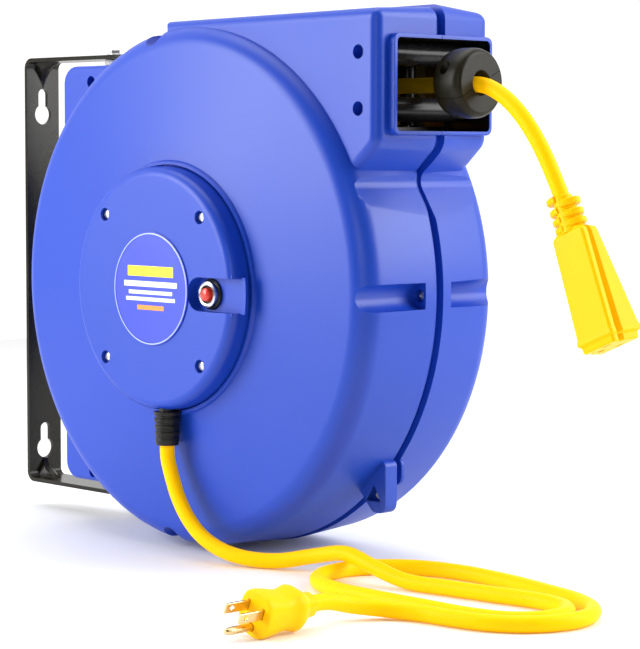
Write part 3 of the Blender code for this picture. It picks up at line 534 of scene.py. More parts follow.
def powder_coat():
    """Black powder coat on steel."""
    return finish("Black Powder Coat", (0.014, 0.012, 0.005), (0.007, 0.006, 0.003), 0.24, 0.14, grain=520.0,
                  patch=22.0, bump=0.22, depth=0.0003, coat=0.04, specular=0.22)


def black_nylon():
    """Smooth black plastic."""
    return finish("Black Nylon", (0.012, 0.012, 0.009), (0.006, 0.006, 0.005), 0.34, 0.14, grain=800.0,
                  bump=0.08, specular=0.3)


def grey_nylon():
    """Smooth dark grey plastic."""
    return finish("Grey Nylon", (0.018, 0.017, 0.009), (0.011, 0.010, 0.005), 0.36, 0.12, grain=1000.0,
                  bump=0.08, specular=0.14)


def zinc():
    """Bright zinc-plated steel."""
    return finish("Zinc Plate", (0.78, 0.78, 0.80), (0.60, 0.60, 0.63), 0.28, 0.16, metallic=1.0, grain=600.0,
                  patch=120.0, bump=0.05, streaks=0.4)


def brass():
    """Brass with fine streaks."""
    return finish("Brass", (0.86, 0.66, 0.34), (0.68, 0.48, 0.22), 0.26, 0.14, metallic=1.0, grain=500.0,
                  patch=90.0, bump=0.05, streaks=0.6)


def natural_nylon():
    """Uncoloured plastic."""
    return finish("Natural Nylon", (0.76, 0.74, 0.68), (0.66, 0.64, 0.58), 0.45, 0.1, bump=0.05)


def spring_steel():
    """Dark steel with fine streaks."""
    return finish("Spring Steel", (0.30, 0.32, 0.38), (0.18, 0.19, 0.24), 0.32, 0.12, metallic=1.0,
                  streaks=0.5)


def button_red():
    """Glossy red plastic."""
    return finish("Button Red", (0.80, 0.045, 0.02), (0.62, 0.02, 0.01), 0.25, 0.08, grain=500.0, bump=0.04,
                  coat=0.3)


# ---------------------------------------------------------------- pieces


def placed(mesh):
    """The mesh moved from millimetres about the drum to metres from the wall plate."""
    mesh.transform(Matrix.Diagonal((MM, MM, MM, 1.0)) @ Matrix.Translation((DRUM_X, 0, 0)))
    return mesh


def piece(name, mesh, material, body, replaces=(), bevel=0.0, sharp=32.0):
    """A finished piece that rides on its CAD body and stands for its CAD nodes."""
    placed(mesh)
    mesh.name = name
    mesh.shade_smooth()
    mesh.set_sharp_from_angle(angle=math.radians(sharp))
    mesh.materials.clear()
    mesh.materials.append(material)
    obj = bpy.data.objects.new(name, mesh)
    bpy.context.scene.collection.objects.link(obj)
    if bevel:
        rounding = obj.modifiers.new("Rounded edges", "BEVEL")
        rounding.width = bevel * MM
        rounding.segments = 2
        rounding.limit_method = "ANGLE"
        rounding.angle_limit = math.radians(38)
        rounding.use_clamp_overlap = True
    weighted = obj.modifiers.new("Even shading", "WEIGHTED_NORMAL")
    weighted.keep_sharp = True
    weighted.weight = 50
    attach(obj, body)
    if replaces:
        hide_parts(*([replaces] if isinstance(replaces, str) else replaces))
    return obj


def show_frame_piece(node, material):
    """A CAD node that stays in view, or inside the casing, gets a finish of its own."""
    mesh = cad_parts[node].data
    mesh.materials.clear()
    mesh.materials.append(material)


def on_circle(radius, degrees, y=0.0):
    """A point at a radius and an angle in degrees round the drum's axle, at a place along it."""
    return (radius * math.cos(math.radians(degrees)), y, radius * math.sin(math.radians(degrees)))


def fillet_steps(radius, steps=8):
    """(how far back from the face, how far in from the wall) round a quarter circle from the wall to the
    face."""
    a = np.linspace(0, math.pi / 2, steps + 1)
    return zip(radius * (1 - np.sin(a)), radius * (1 - np.cos(a)))


MOUTH_LINES = ((0.6727, -0.7399, 51.1), (1.0, 0.0, 183.0), (-0.008, 1.0, 188.6), (-0.5356, 0.8443, 175.05),
               (-0.7, -0.7, -25.0))
MOUTH_RADII = (15.0, 10.0, 3.0, 0.0, 0.0)
BOX_LINES = ((1.0, 0.0, -40.0), (0.0, 1.0, BOX_TOP), (-1.0, 0.0, 168.5), (0.0, -1.0, -BOX_BOTTOM))
BOX_RADII = (0.0, 14.0, 14.0, 0.0)


def boxy(lines, radii, side, seam, face, first, slope, fillet, edge=0.0):
    """A flat-faced housing: its outline moves in by the slope towards the face, then round the fillet."""
    rings = []
    stations = []
    if edge:
        stations += [(seam, first + edge), (seam + 0.35 * edge, first + 0.3 * edge), (seam + edge, first)]
    else:
        stations.append((seam, first))
    stations += [(face - back, first + slope + inward) for back, inward in fillet_steps(fillet)]
    for y, inset in stations:
        a, b = np.array(rounded(lines, radii, inset, 8)).T
        rings.append(around("Y", side * y, (a, b)))
    return skin(rings)


def dish(shell, seam, inset=0.0, edge=0.0):
    """The round body of one shell: rim wall with a little draft, a fillet, a shallow cone and the hub's
    seat."""
    side = shell["side"]
    rim = shell["seam_r"] - inset
    radius = FILLET_R - inset
    centre = (shell["fillet_r"], shell["face"] - FILLET_R)
    profile = []
    if inset:
        profile += [(rim - LIP + WALL, seam), (rim - LIP + WALL, LIP), (rim, LIP)]
    elif edge:
        profile += [(rim - edge, seam), (rim - 0.3 * edge, seam + 0.35 * edge), (rim, seam + edge)]
    else:
        profile.append((rim, seam))
    profile += arc(centre, radius, 0, 83, 14)
    top = shell["seat"] - inset if inset else shell["face"] + HUB_RISE
    if inset:
        profile.append((HUB_R + 8, top))
    else:
        profile += [(HUB_R + 4.2, top - 0.4), (HUB_R + 3.4, top + 1.6), (HUB_R + 2.8, top + 2.0),
                    (HUB_R + 1.2, top + 2.0), (HUB_R + 0.6, top + 1.4), (HUB_R + 0.5, shell["seat"])]
    return turned([(r, side * y) for r, y in profile], ROUND)


def mouth_ring(low_y, high_y):
    """The frame that stands out round the cord's mouth, with rounded corners and a soft front edge."""
    lines = ((1, 0, MOUTH_HALF_Y + 2.7), (0, 1, MOUTH_HIGH + 2.6), (-1, 0, MOUTH_HALF_Y + 2.7),
             (0, -1, -MOUTH_LOW + 2.6))
    rings = []
    for x, inset in ((170.0, 0.0), (LIP_X - 1.0, 0.0), (LIP_X - 0.3, 0.3), (LIP_X, 1.0)):
        y, z = np.array(rounded(lines, (5, 5, 5, 5), inset, 5)).T
        rings.append(around("X", x, (y, z)))
    return common(skin(rings), box((160, 200), (low_y, high_y), (90, 190)))


def mouth_tunnel(low_y, high_y):
    """The passage through the mouth with rounded corners, between two places along Y."""
    lines = ((1, 0, MOUTH_HALF_Y), (0, 1, MOUTH_HIGH), (-1, 0, MOUTH_HALF_Y), (0, -1, -MOUTH_LOW))
    y, z = np.array(rounded(lines, (3.2, 3.2, 3.2, 3.2), 0.0, 4)).T
    return common(skin([around("X", x, (y, z)) for x in (128.0, LIP_X + 3)]),
                  box((100, 200), (low_y, high_y), (90, 190)))


def lug(low, high, bottom=148.3):
    """The screw lug low on the mouth's side, with rounded corners and a softened front edge."""
    lines = ((0.0, 1.0, -112.0), (1.0, 0.0, 146.0), (0.0, -1.0, bottom), (-0.73, -0.683, 3.6))
    rings = []
    for y, inset in ((low, 0.9), (low + 0.3, 0.3), (low + 0.9, 0.0), (high, 0.0)):
        x, z = np.array(rounded(lines, (5.0, 7.0, 7.0, 0.0), inset, 6)).T
        rings.append(around("Y", y, (x, z)))
    return skin(rings)


def kept_solid():
    """Parts of the shells that stay solid inside: pivot blocks, screw posts and the walls of the rim
    pockets."""
    solid = [box((-170, -136), (-16, 16), (z - 12, z + 12)) for z in (148.0, -148.0)]
    solid += [rod((x, -60, z), (x, 60, z), 6.5, 12) for x, z in BOX_SCREWS]
    solid.append(valley(3.4))
    return solid + [rod(on_circle(POCKET_R, a, -80), on_circle(POCKET_R, a, 80), POCKET_BORE + 2.4,
                        16) for a in POCKETS]


def hollows(shell):
    """The inside of one shell: the dish, the room beside the rollers and the pivot box."""
    side = shell["side"]
    inner = dish(shell, -5.0, inset=WALL)
    mouth = boxy(MOUTH_LINES, MOUTH_RADII, side, -5.4, shell["mouth"] - WALL, 6.0, 1.0, 4.0)
    mouth = common(mouth, box((-90, 148), (-80, 80), (60, 200)))
    pivot = boxy(BOX_LINES, BOX_RADII, side, -5.8, shell["box"] - WALL, 6.0, 1.0, 3.0)
    return [cut(shape, *kept_solid()) for shape in (inner, mouth, pivot)]


def valley(grow=0.0):
    """What the waist under the mouth's housing takes from the rim wall: a rounded corner that runs out
    flat."""
    x, z = 171.5, 74.7
    outline = [(180.5 - 0.673 * grow, 93.0 + 0.74 * grow)] + arc((x, z), 9.0 + grow, 132.3, 212.3, 14)
    outline += [(177.3 - 0.845 * grow, 48.8 - 0.535 * grow), (205.0, 44.0), (205.0, 93.0)]
    return prism(outline, -90, 90)


def pivot_holes():
    """Tools for the two holes that the pivot bolts pass through."""
    return [rod((PIVOT_X, 0, s * 130), (PIVOT_X, 0, s * 172), PIVOT_R + 0.4) for s in (1, -1)]


def front_shell():
    """The shell on the hub cover's side: its outside, hollows, wells and holes."""
    shell = FRONT
    outer = joined(dish(shell, SEAM, edge=1.8), boxy(MOUTH_LINES, MOUTH_RADII, -1, SEAM, shell["mouth"],
                                                     1.5, 2.2, 7.0, 1.8),
                   boxy(BOX_LINES, BOX_RADII, -1, SEAM, shell["box"], 0.5, 0.6, 3.6, 1.8),
                   lug(-13.5, -SEAM))
    holes = [valley(), rod((0, -80, 0), (0, -70, 0), 34, 48), box((42, 67), (-80, -70), (-13, 10))]
    holes += [rod((x, -80, z), (x, -70, z), 2.2, 12) for x, z in HUB_SCREWS]
    for z in ROLLER_Z:
        holes += [rod((ROLLER_X, -60, z), (ROLLER_X, -49, z), 4.7, 28),
                  rod((ROLLER_X, -50, z), (ROLLER_X, -40, z), 3.3)]
    for x, z in BOX_SCREWS:
        holes += [rod((x, -60, z), (x, -14, z), 4.4, 24), rod((x, -15, z), (x, 0, z), 2.3, 12)]
    for angle in POCKETS:
        holes += [rod(on_circle(POCKET_R, angle, -90), on_circle(POCKET_R, angle, -13.5), POCKET_BORE, 40),
                  rod(on_circle(POCKET_R - 3.4, angle, -18), on_circle(POCKET_R - 3.4, angle, -8), 4.3, 24),
                  rod(on_circle(POCKET_R - 3.4, angle, -9), on_circle(POCKET_R - 3.4, angle, 0), 2.3, 12)]
    x, z = LUG_SCREW
    holes += [prism([(x - 7.2, z - 3.7), (x + 6.4, z - 3.7), (x, z + 7.6)], -20, -7.2),
              rod((x, -9, z), (x, 0, z), 2.3, 12)]
    holes.append(rod((STRAIN[0], STRAIN[1], -82), (STRAIN[0], STRAIN[1], -112), 9.7, 32))
    shell_body = cut(outer, *hollows(shell), mouth_tunnel(-MOUTH_HALF_Y - 2, 5), *holes, *pivot_holes())
    lip = cut(mouth_ring(-60, -SEAM), mouth_tunnel(-60, 5))
    return joined(shell_body, lip)


def rear_shell():
    """The far shell, with the tongue that closes the seam from within."""
    shell = REAR
    outer = joined(dish(shell, SEAM - 0.5), boxy(MOUTH_LINES, MOUTH_RADII, 1, SEAM - 0.5, shell["mouth"],
                                                 -0.6, 3.6, 11.0),
                   boxy(BOX_LINES, BOX_RADII, 1, SEAM - 0.5, shell["box"], -0.2, 1.0, 3.6),
                   lug(SEAM - 0.5, 4.6, 131.0))
    tongue = joined(turned([(178.4, -2.1), (178.4, 4)], ROUND),
                    boxy(MOUTH_LINES, MOUTH_RADII, 1, -2.15, 6, 4.2, 0.2, 0.5),
                    boxy(BOX_LINES, BOX_RADII, 1, -2.2, 6, 4.2, 0.2, 0.5))
    holes = [valley()] + [rod((ROLLER_X, 40, z), (ROLLER_X, 49.7, z), 3.3) for z in ROLLER_Z]
    holes += [rod((x, 60, z), (x, 80, z), 2.2, 12) for x, z in HUB_SCREWS]
    holes += [rod((x, -5, z), (x, 12, z), 2.3, 12) for x, z in BOX_SCREWS]
    for angle in POCKETS:
        holes += [rod(on_circle(POCKET_R, angle, 10), on_circle(POCKET_R, angle, 80), POCKET_BORE, 40),
                  rod(on_circle(POCKET_R - 3.4, angle, -6), on_circle(POCKET_R - 3.4, angle, 5), 2.3, 12)]
    body = cut(joined(outer, cut(tongue, valley(2.2))), *hollows(shell), mouth_tunnel(-5, MOUTH_HALF_Y + 2),
               *holes, *pivot_holes())
    lip = cut(mouth_ring(-2.05, 60), mouth_tunnel(-5, 60))
    return joined(body, lip)


def hub_cup(side, base, top):
    """A round cup with a rounded edge, screw wells, and posts that reach the shell's seat."""
    outer = [(HUB_R, base), (HUB_R - 0.4, top - 7)] + arc((HUB_R - 7.2, top - 6.8), 6.8, 0, 90,
                                                          10) + [(40.0, top)]
    inner = [(HUB_R - 2.6, base - 1), (HUB_R - 2.9, top - 7)] + arc((HUB_R - 7.2, top - 6.8), 4.2, 0, 90,
                                                                    6) + [(30.0, top - 2.6)]
    posts = [rod((x, 0, z), (x, side * (top - 1), z), 6.2, 24) for x, z in HUB_SCREWS]
    cup = cut(turned([(r, side * y) for r, y in outer], 160),
              cut(turned([(r, side * y) for r, y in inner], 96), *posts))
    wells = []
    for x, z in HUB_SCREWS:
        wells += [rod((x, side * (top - 4.2), z), (x, side * (top + 5), z), 4.6, 32),
                  rod((x, side * (base - 2), z), (x, side * top, z), 2.2, 12)]
    return cut(cup, *wells)


def channel_outline(grow=0.0):
    """A slot with a round inner end that runs out through the cover's edge."""
    x, z = BREAKER
    return [(x + 40, z - 11.5 - grow), (x + 40, z + 11.5 + grow)] + arc((x - 5, z), 11.5 + grow, 90, 270, 18)


def front_hub_cover():
    """The front hub cover with the breaker's channel let into it."""
    cup = hub_cup(-1, FRONT["seat"] + 0.3, FRONT_HUB_TOP)
    limit = rod((0, -80, 0), (0, -94, 0), HUB_R - 2, 96)
    cup = joined(cup, common(prism(channel_outline(2.5), -CHANNEL_FLOOR + 2.5, -93), limit))
    tray = common(prism(channel_outline(0.8), -CHANNEL_FLOOR + 0.02, -CHANNEL_FLOOR + 2.2),
                  rod((0, -80, 0), (0, -94, 0), HUB_R + 4, 96))
    x, z = BREAKER
    cup = joined(cup, tray)
    return cut(cup, prism(channel_outline(), -CHANNEL_FLOOR, -100), rod((x, -95, z), (x, -80, z), 6.4, 32),
               rod((6.5, -86, -70), (6.5, -86, -90), 5.8, 24))


def screw(x, z, head_y, side, shank, head_r=3.8):
    """A pan head screw along Y with a cross recess. Its head's underside is at head_y."""
    heights = [(1.9, -shank), (1.9, 0), (head_r, 0), (head_r, 0.7), (head_r * 0.93, 1.35),
               (head_r * 0.75, 1.9),
               (head_r * 0.5, 2.3), (head_r * 0.22, 2.5)]
    body = turned([(r, head_y + side * h) for r, h in heights], 28, centre=(x, 0, z))
    quarter = [(2.4, -0.45), (2.4, 0.45), (0.45, 0.45), (0.45, 2.4), (-0.45, 2.4), (-0.45, 0.45)]
    plus = [(x + a, z + b) for a, b in quarter + [(-a, -b) for a, b in quarter]]
    return cut(body, prism(plus, head_y + side * 1.1, head_y + side * 4))


class ReelSettings(bpy.types.PropertyGroup):
    """Sizes and colours that can be changed before the pieces are built."""

    casing_colour: FloatVectorProperty(
        name="Casing colour", description="Colour of the moulded casing", subtype="COLOR", size=3,
        default=(0.005, 0.050, 0.46), min=0.0, max=1.0)
    cord_colour: FloatVectorProperty(
        name="Cord colour", description="Colour of the cords, the plug and the tap", subtype="COLOR", size=3,
        default=(0.98, 0.52, 0.001), min=0.0, max=1.0)
    floor_size: FloatProperty(
        name="Floor size", description="Side of the studio floor", default=2.6, min=2.0, max=40.0,
                              unit="LENGTH")
    light_strength: FloatProperty(
        name="Light strength", description="Multiplies every studio light", default=1.0, min=0.0, max=10.0)


def pressed_rib(left, top, side):
    """The rib pressed into a bend: thickest at the bend, it narrows to a point along each leg."""
    spine = [(left + 2.0, top - 27.0, 0.6), (left + 5.2, top - 17.0, 5.0), (left + 9.5, top - 9.5, 8.5),
             (left + 17.0, top - 5.2, 5.0), (left + 27.0, top - 2.0, 0.6)]
    rings = []
    for x, z, half in spine:
        back_x, back_z = max(left + 1.0, x - 6.0), min(top - 1.0, z + 6.0)
        ring = [(x, 0.0, z), (x - 1.2, half * 0.5, z + 1.2), (back_x, half, back_z), (back_x, -half, back_z),
                (x - 1.2, -half * 0.5, z + 1.2)]
        rings.append([(a, b, side * c) for a, b, c in ring])
    return skin(rings)


class REEL_OT_bracket(bpy.types.Operator):
    """Builds the wall bracket, its pivot bolts and its washers"""

    bl_idname = "reel.bracket"
    bl_label = "Wall Bracket"

    def execute(self, context):
        outer, inner = 8.0, 8.0 - STRAP_T
        left, top = -DRUM_X, STRAP_HALF_H
        outline = [(ARM_END_X, top)] + arc((left + outer, top - outer), outer, 90, 180, 10)
        outline += arc((left + outer, outer - top), outer, 180, 270, 10)
        outline += [(ARM_END_X, -top), (ARM_END_X, STRAP_T - top)]
        outline += arc((left + outer, outer - top), inner, 270, 180, 10)
        outline += arc((left + outer, top - outer), inner, 180, 90, 10) + [(ARM_END_X, top - STRAP_T)]
        strap = prism(outline, -STRAP_HALF_W, STRAP_HALF_W)
        ribs = [pressed_rib(left, top, s) for s in (1, -1)]
        holes = []
        for low in (114.7, -148.5):
            hole = arc((0, low + 7.8), 7.8, 124.3, 415.7, 32) + arc((0, low + 23.4), 4.4, 0, 180, 14)
            holes.append(prism(hole, left - 2, left + STRAP_T + 2, "X"))
        holes += [rod((PIVOT_X, 0, s * 150), (PIVOT_X, 0, s * 180), PIVOT_R + 0.3, 32) for s in (1, -1)]
        piece("bracket_strap", cut(joined(strap, *ribs), *holes), powder_coat(), "bracket",
              "wall_bracket", bevel=0.7)
        for s, side in ((1, "top"), (-1, "bottom")):
            head = rod((PIVOT_X, 0, s * (top + 0.3)), (PIVOT_X, 0, s * (top + 4.2)), 7.5, 6)
            collar = rod((PIVOT_X, 0, s * (top + 0.25)), (PIVOT_X, 0, s * (top + 1.2)), 8.6, 40)
            shank = rod((PIVOT_X, 0, s * 142), (PIVOT_X, 0, s * (top + 1)), PIVOT_R, 32)
            piece("bolt_" + side, joined(head, collar, shank), zinc(), "bracket",
                  "pivot_bolt_" + side,
                  bevel=0.5)
            low, high = (BOX_TOP if s > 0 else BOX_BOTTOM) + s * 0.6, s * (top - STRAP_T - 0.3)
            ring = [(PIVOT_R + 0.3, low), (PIVOT_R + 0.3, high), (10, high), (10, low)]
            piece("washer_" + side, turned(ring, 48, "Z", (PIVOT_X, 0, 0), True), natural_nylon(), "bracket",
                  "pivot_washer_" + side, bevel=0.4)
        return {"FINISHED"}


class REEL_OT_casing(bpy.types.Operator):
    """Builds the front and rear shells and the screws that join them"""

    bl_idname = "reel.casing"
    bl_label = "Casing Shells"

    def execute(self, context):
        piece("shell_front", front_shell(), casing_finish(), "casing", "front_shell")
        piece("shell_rear", rear_shell(), casing_finish(), "casing", "rear_shell")
        for i, angle in enumerate(POCKETS, 1):
            x, _, z = on_circle(POCKET_R - 3.4, angle)
            piece(f"pocket_screw_{i}", screw(x, z, -8.3, -1, 14), zinc(), "casing", f"rim_screw_{i}")
        piece("lug_fixing", screw(*LUG_SCREW, -7.5, -1, 10, 2.8), zinc(), "casing", "lug_screw")
        for i, (x, z) in enumerate(BOX_SCREWS, 1):
            piece(f"box_fixing_{i}", screw(x, z, -14.3, -1, 22, 3.6), zinc(), "casing")
        return {"FINISHED"}


class REEL_OT_hub(bpy.types.Operator):
    """Builds the hub covers, their screws and the plain label plate"""

    bl_idname = "reel.hub"
    bl_label = "Hub Covers"

    def execute(self, context):
        piece("cover_front", front_hub_cover(), casing_finish(), "casing", "hub_cover")
        piece("cover_rear", hub_cup(1, REAR["seat"] + 0.3, REAR_HUB_TOP), casing_finish(), "casing",
              "rear_cover")
        for i, (x, z) in enumerate(HUB_SCREWS, 1):
            piece(f"cover_screw_{i}", screw(x, z, -FRONT_HUB_TOP + 3.9, -1, 20), zinc(), "casing",
                  f"hub_screw_{i}")
            piece(f"rear_cover_screw_{i}", screw(x, z, REAR_HUB_TOP - 3.9, 1, 14), zinc(), "casing")
        face = FRONT_HUB_TOP + 0.2
        plate = [(38.6, -face), (39.0, -face - 0.2), (39.0, -face - 0.7), (38.2, -face - 0.9),
                 (37.4, -face - 0.9),
                 (37.0, -face - 0.6), (2.0, -face - 0.6)]
        piece("label", turned(plate, 128), label_finish(), "casing", "label_plate")
        return {"FINISHED"}


def label_finish():
    """A printed plate without lettering: a thin pale ring, one yellow band, pale bands and a short orange
    bar."""
    material = bpy.data.materials.get("Printed Label")
    if material:
        return material
    light, dark = (0.035, 0.065, 0.62), (0.028, 0.055, 0.56)
    material = finish("Printed Label", light, dark, 0.3, 0.06, grain=400.0, bump=0.02)
    tree = material.node_tree
    shader = tree.nodes["Principled BSDF"]
    base = shader.inputs["Base Color"].links[0].from_socket
    place = tree.nodes.new("ShaderNodeTexCoord")
    split = tree.nodes.new("ShaderNodeSeparateXYZ")
    tree.links.new(place.outputs["Object"], split.inputs["Vector"])
    x = math_node(tree, "SUBTRACT", split.outputs["X"], DRUM_X * MM)
    z = split.outputs["Z"]
    bands = ((12.0, 3.6, 24.0, (1.0, 0.80, 0.02)), (3.2, 1.9, 28.0, (0.9, 0.92, 0.95)),
             (-2.6, 1.3, 23.0, (0.9, 0.92, 0.95)), (-7.2, 1.3, 26.0, (0.9, 0.92, 0.95)),
             (-13.0, 1.6, 14.0, (0.95, 0.30, 0.03)))
    for height, half, reach, colour in bands:
        off = math_node(tree, "ABSOLUTE", math_node(tree, "SUBTRACT", z, height * MM))
        inside = math_node(tree, "LESS_THAN", off, half * MM)
        short = math_node(tree, "LESS_THAN", math_node(tree, "ABSOLUTE", x), reach * MM)
        base = printed(tree, base, math_node(tree, "MULTIPLY", inside, short), colour)
    radius = math_node(tree, "SQRT", math_node(tree, "ADD", math_node(tree, "MULTIPLY", x, x),
                                               math_node(tree, "MULTIPLY", z, z)))
    rim = math_node(tree, "LESS_THAN", math_node(tree, "ABSOLUTE",
                                                 math_node(tree, "SUBTRACT", radius, 37.9 * MM)),
                    0.35 * MM)
    base = printed(tree, base, rim, (0.45, 0.55, 0.95))
    tree.links.new(base, shader.inputs["Base Color"])
    return material


def printed(tree, base, mask, colour):
    """The base colour with another laid over it where the mask is one."""
    mix = tree.nodes.new("ShaderNodeMix")
    mix.data_type = "RGBA"
    mix.inputs["B"].default_value = (*colour, 1.0)
    tree.links.new(mask, mix.inputs["Factor"])
    tree.links.new(base, mix.inputs["A"])
    return mix.outputs["Result"]


def breaker_parts():
    """The breaker's body, its collar, its knurled nut and its button."""
    x, z = BREAKER
    floor = CHANNEL_FLOOR
    body = joined(box((x - 11, x + 11), (-84.2, -62), (z - 10, z + 10)),
                  rod((x, -90, z), (x, -83, z), 6.0, 40))
    body = cut(body, rod((x, -95, z), (x, -83.9, z), 5.0, 40))
    collar = [(6.4, -floor - 0.3), (6.4, -floor - 1.8), (8.9, -floor - 2.2), (10.4, -floor - 1.5),
              (10.6, -floor - 0.3)]
    nut = [(6.3, -floor - 2.4), (6.3, -floor - 5.0), (7.4, -floor - 5.4), (8.7, -floor - 4.7),
           (8.7, -floor - 2.4)]
    button = [(4.6, -86.6), (4.6, -92.6), (4.3, -93.6), (3.5, -94.3), (2.2, -94.6), (0.6, -94.7)]
    knurls = [rod((x + 8.9 * math.cos(a), -floor - 6, z + 8.9 * math.sin(a)),
                  (x + 8.9 * math.cos(a), -floor - 2, z + 8.9 * math.sin(a)), 0.45, 6)
              for a in np.linspace(0, math.tau, 24, endpoint=False)]
    return (body, turned(collar, 64, centre=(x, 0, z), hollow=True),
            cut(turned(nut, 72, centre=(x, 0, z), hollow=True), *knurls),
            turned(button, 48, centre=(x, 0, z)))


class REEL_OT_breaker(bpy.types.Operator):
    """Builds the overload breaker with its collar, knurled nut and reset button"""

    bl_idname = "reel.breaker"
    bl_label = "Breaker"

    def execute(self, context):
        body, collar, nut, button = breaker_parts()
        piece("breaker_case", body, black_nylon(), "casing", "breaker_body")
        piece("breaker_ring", collar, black_nylon(), "casing", "breaker_collar")
        piece("breaker_ring_nut", nut, zinc(), "casing", "breaker_nut")
        piece("button", button, button_red(), "reset_button", "reset_button")
        return {"FINISHED"}


class REEL_OT_mouth(bpy.types.Operator):
    """Builds the guide rollers, their pins and the guide frame behind them"""

    bl_idname = "reel.mouth"
    bl_label = "Cord Mouth"

    def execute(self, context):
        half = MOUTH_HALF_Y - 1.0
        for z, side in zip(ROLLER_Z, ("lower", "upper")):
            section = [(3.4, -half), (3.4, half), (ROLLER_R - 0.9, half), (ROLLER_R, half - 0.9),
                       (ROLLER_R, 0.9 - half), (ROLLER_R - 0.9, -half)]
            piece(f"{side}_guide", turned(section, 56, centre=(ROLLER_X, 0, z), hollow=True), roller_finish(),
                  f"{side}_roller", f"{side}_roller")
            piece(f"{side}_guide_pin", rod((ROLLER_X, -48.6, z), (ROLLER_X, 48.7, z), 3.0, 28, 0.5), zinc(),
                  "casing", f"{side}_roller_pin")
        low, high = MOUTH_LOW + 0.3, MOUTH_HIGH - 0.3
        for y, side in ((-SIDE_ROLLER_Y, "front"), (SIDE_ROLLER_Y, "rear")):
            section = [(2.4, low + 3.5), (2.4, high - 3.5), (5.3, high - 3.5), (6.0, high - 4.2),
                       (6.0, low + 4.2),
                       (5.3, low + 3.5)]
            piece(f"{side}_guide", turned(section, 40, "Z", (SIDE_ROLLER_X, y, 0), True), roller_finish(),
                  f"{side}_roller", f"{side}_roller")
            piece(f"{side}_guide_pin", rod((SIDE_ROLLER_X, y, low + 0.4), (SIDE_ROLLER_X, y, high - 0.4),
                                           2.0, 20, 0.3), zinc(), "casing", f"{side}_roller_pin")
        wide = MOUTH_HALF_Y - 0.3
        guide = cut(box((129, 147), (-wide, wide), (low, high)),
                    box((120, 160), (3 - wide, wide - 3), (low + 3, high - 3)))
        for y in (-SIDE_ROLLER_Y, SIDE_ROLLER_Y):
            guide = cut(guide, rod((SIDE_ROLLER_X, y, low + 0.2), (SIDE_ROLLER_X, y, low + 4.2), 2.3, 20),
                        rod((SIDE_ROLLER_X, y, high - 0.2), (SIDE_ROLLER_X, y, high - 4.2), 2.3, 20))
        piece("guide_frame", guide, black_nylon(), "casing", "cord_guide", bevel=0.5)
        return {"FINISHED"}


def roller_finish():
    """Black plastic of the guide rollers."""
    return finish("Roller Black", (0.014, 0.014, 0.016), (0.008, 0.008, 0.009), 0.26, 0.12, grain=600.0,
                  patch=40.0, bump=0.06, streaks=0.1, specular=0.2)


def wound_path():
    """Turns about the axle: the angle grows evenly, each layer crosses the drum and the next lies on it."""
    edge, pitch, layer = 36.2, 10.35, 10.5
    first = 106.1
    turns, y, r = [], [], []
    count = 0.0
    for k in range(3):
        way = -1 if k % 2 == 0 else 1
        turns += [count, count + 7.0]
        y += [-way * edge, way * edge]
        r += [first + k * layer] * 2
        count += 7.5
    turns += [count, count + 2.0, count + 2.5]
    y += [-edge, -edge + 2.0 * pitch, 0.0]
    r += [first + 3 * layer] * 3
    steps = np.linspace(0, count + 2.5, int((count + 2.5) * 40) + 1)
    a = (steps - (count + 2.5)) * math.tau
    ys, rs = np.interp(steps, turns, y), np.interp(steps, turns, r)
    return np.stack([rs * np.sin(a), ys, rs * np.cos(a)], -1)


class REEL_OT_drum(bpy.types.Operator):
    """Builds the wound cord and finishes the drum, its contacts, spring and ratchet"""

    bl_idname = "reel.drum"
    bl_label = "Drum"

    def execute(self, context):
        path = wound_path()
        coil = piece("cord_on_drum", tube(path, CORD_R, 10), cord_finish(), "drum",
                     "wound_cord")
        barrel = [(97.8, -41.8), (97.8, 41.8), (100.8, 41.8), (100.8, -41.8)]
        piece("barrel", turned(barrel, 128, hollow=True), black_nylon(), "drum",
              "drum_barrel")
        for name, low, high in (("front", -44.5, -42.0), ("rear", 42.0, 44.5)):
            disc = [(12.3, low), (12.3, high), (149.2, high), (150, (low + high) / 2), (149.2, low)]
            piece(f"{name}_disc", turned(disc, 160, hollow=True), black_nylon(), "drum",
                  f"{name}_flange")
        for node in ("slip_ring_1", "slip_ring_2", "slip_ring_3", "contact_brush_1", "contact_brush_2",
                     "contact_brush_3"):
            show_frame_piece(node, brass())
        for node in ("ratchet_ring", "pawl", "pawl_pin", "main_axle"):
            show_frame_piece(node, zinc())
        for node in ("power_spring", "pawl_spring"):
            show_frame_piece(node, spring_steel())
        for node in ("drum_bush", "slip_ring_rotor"):
            show_frame_piece(node, natural_nylon())
        show_frame_piece("brush_holder", black_nylon())
        return {"FINISHED"}


def strain_relief():
    """A ribbed sleeve: the radius steps out at each rib and in at each groove, with soft edges."""
    top, step = STRAIN_TOP, (STRAIN_TOP - STRAIN_END) / 5
    profile = [(5.45, top + 4.6), (5.45, top), (9.3, top)]
    for i in range(5):
        z, r = top - step * i, 9.3 - 0.22 * i
        profile += [(r, z - 0.42 * step), (r - 0.25, z - 0.52 * step), (8.0, z - 0.6 * step),
                    (8.0, z - 0.9 * step),
                    (r - 0.35, z - 0.96 * step)]
    profile[-1] = (7.6, STRAIN_END)
    return turned(profile, 48, "Z", (*STRAIN, 0))


def plug_point(across, along, up):
    """A point on the plug: across and up on its face, turned by its roll, and along from its rear to its
    face."""
    c, s = math.cos(math.radians(PLUG_ROLL)), math.sin(math.radians(PLUG_ROLL))
    return np.array(PLUG_REAR) + np.stack([across * c + up * s, -along + 0 * across, up * c - across * s], -1)


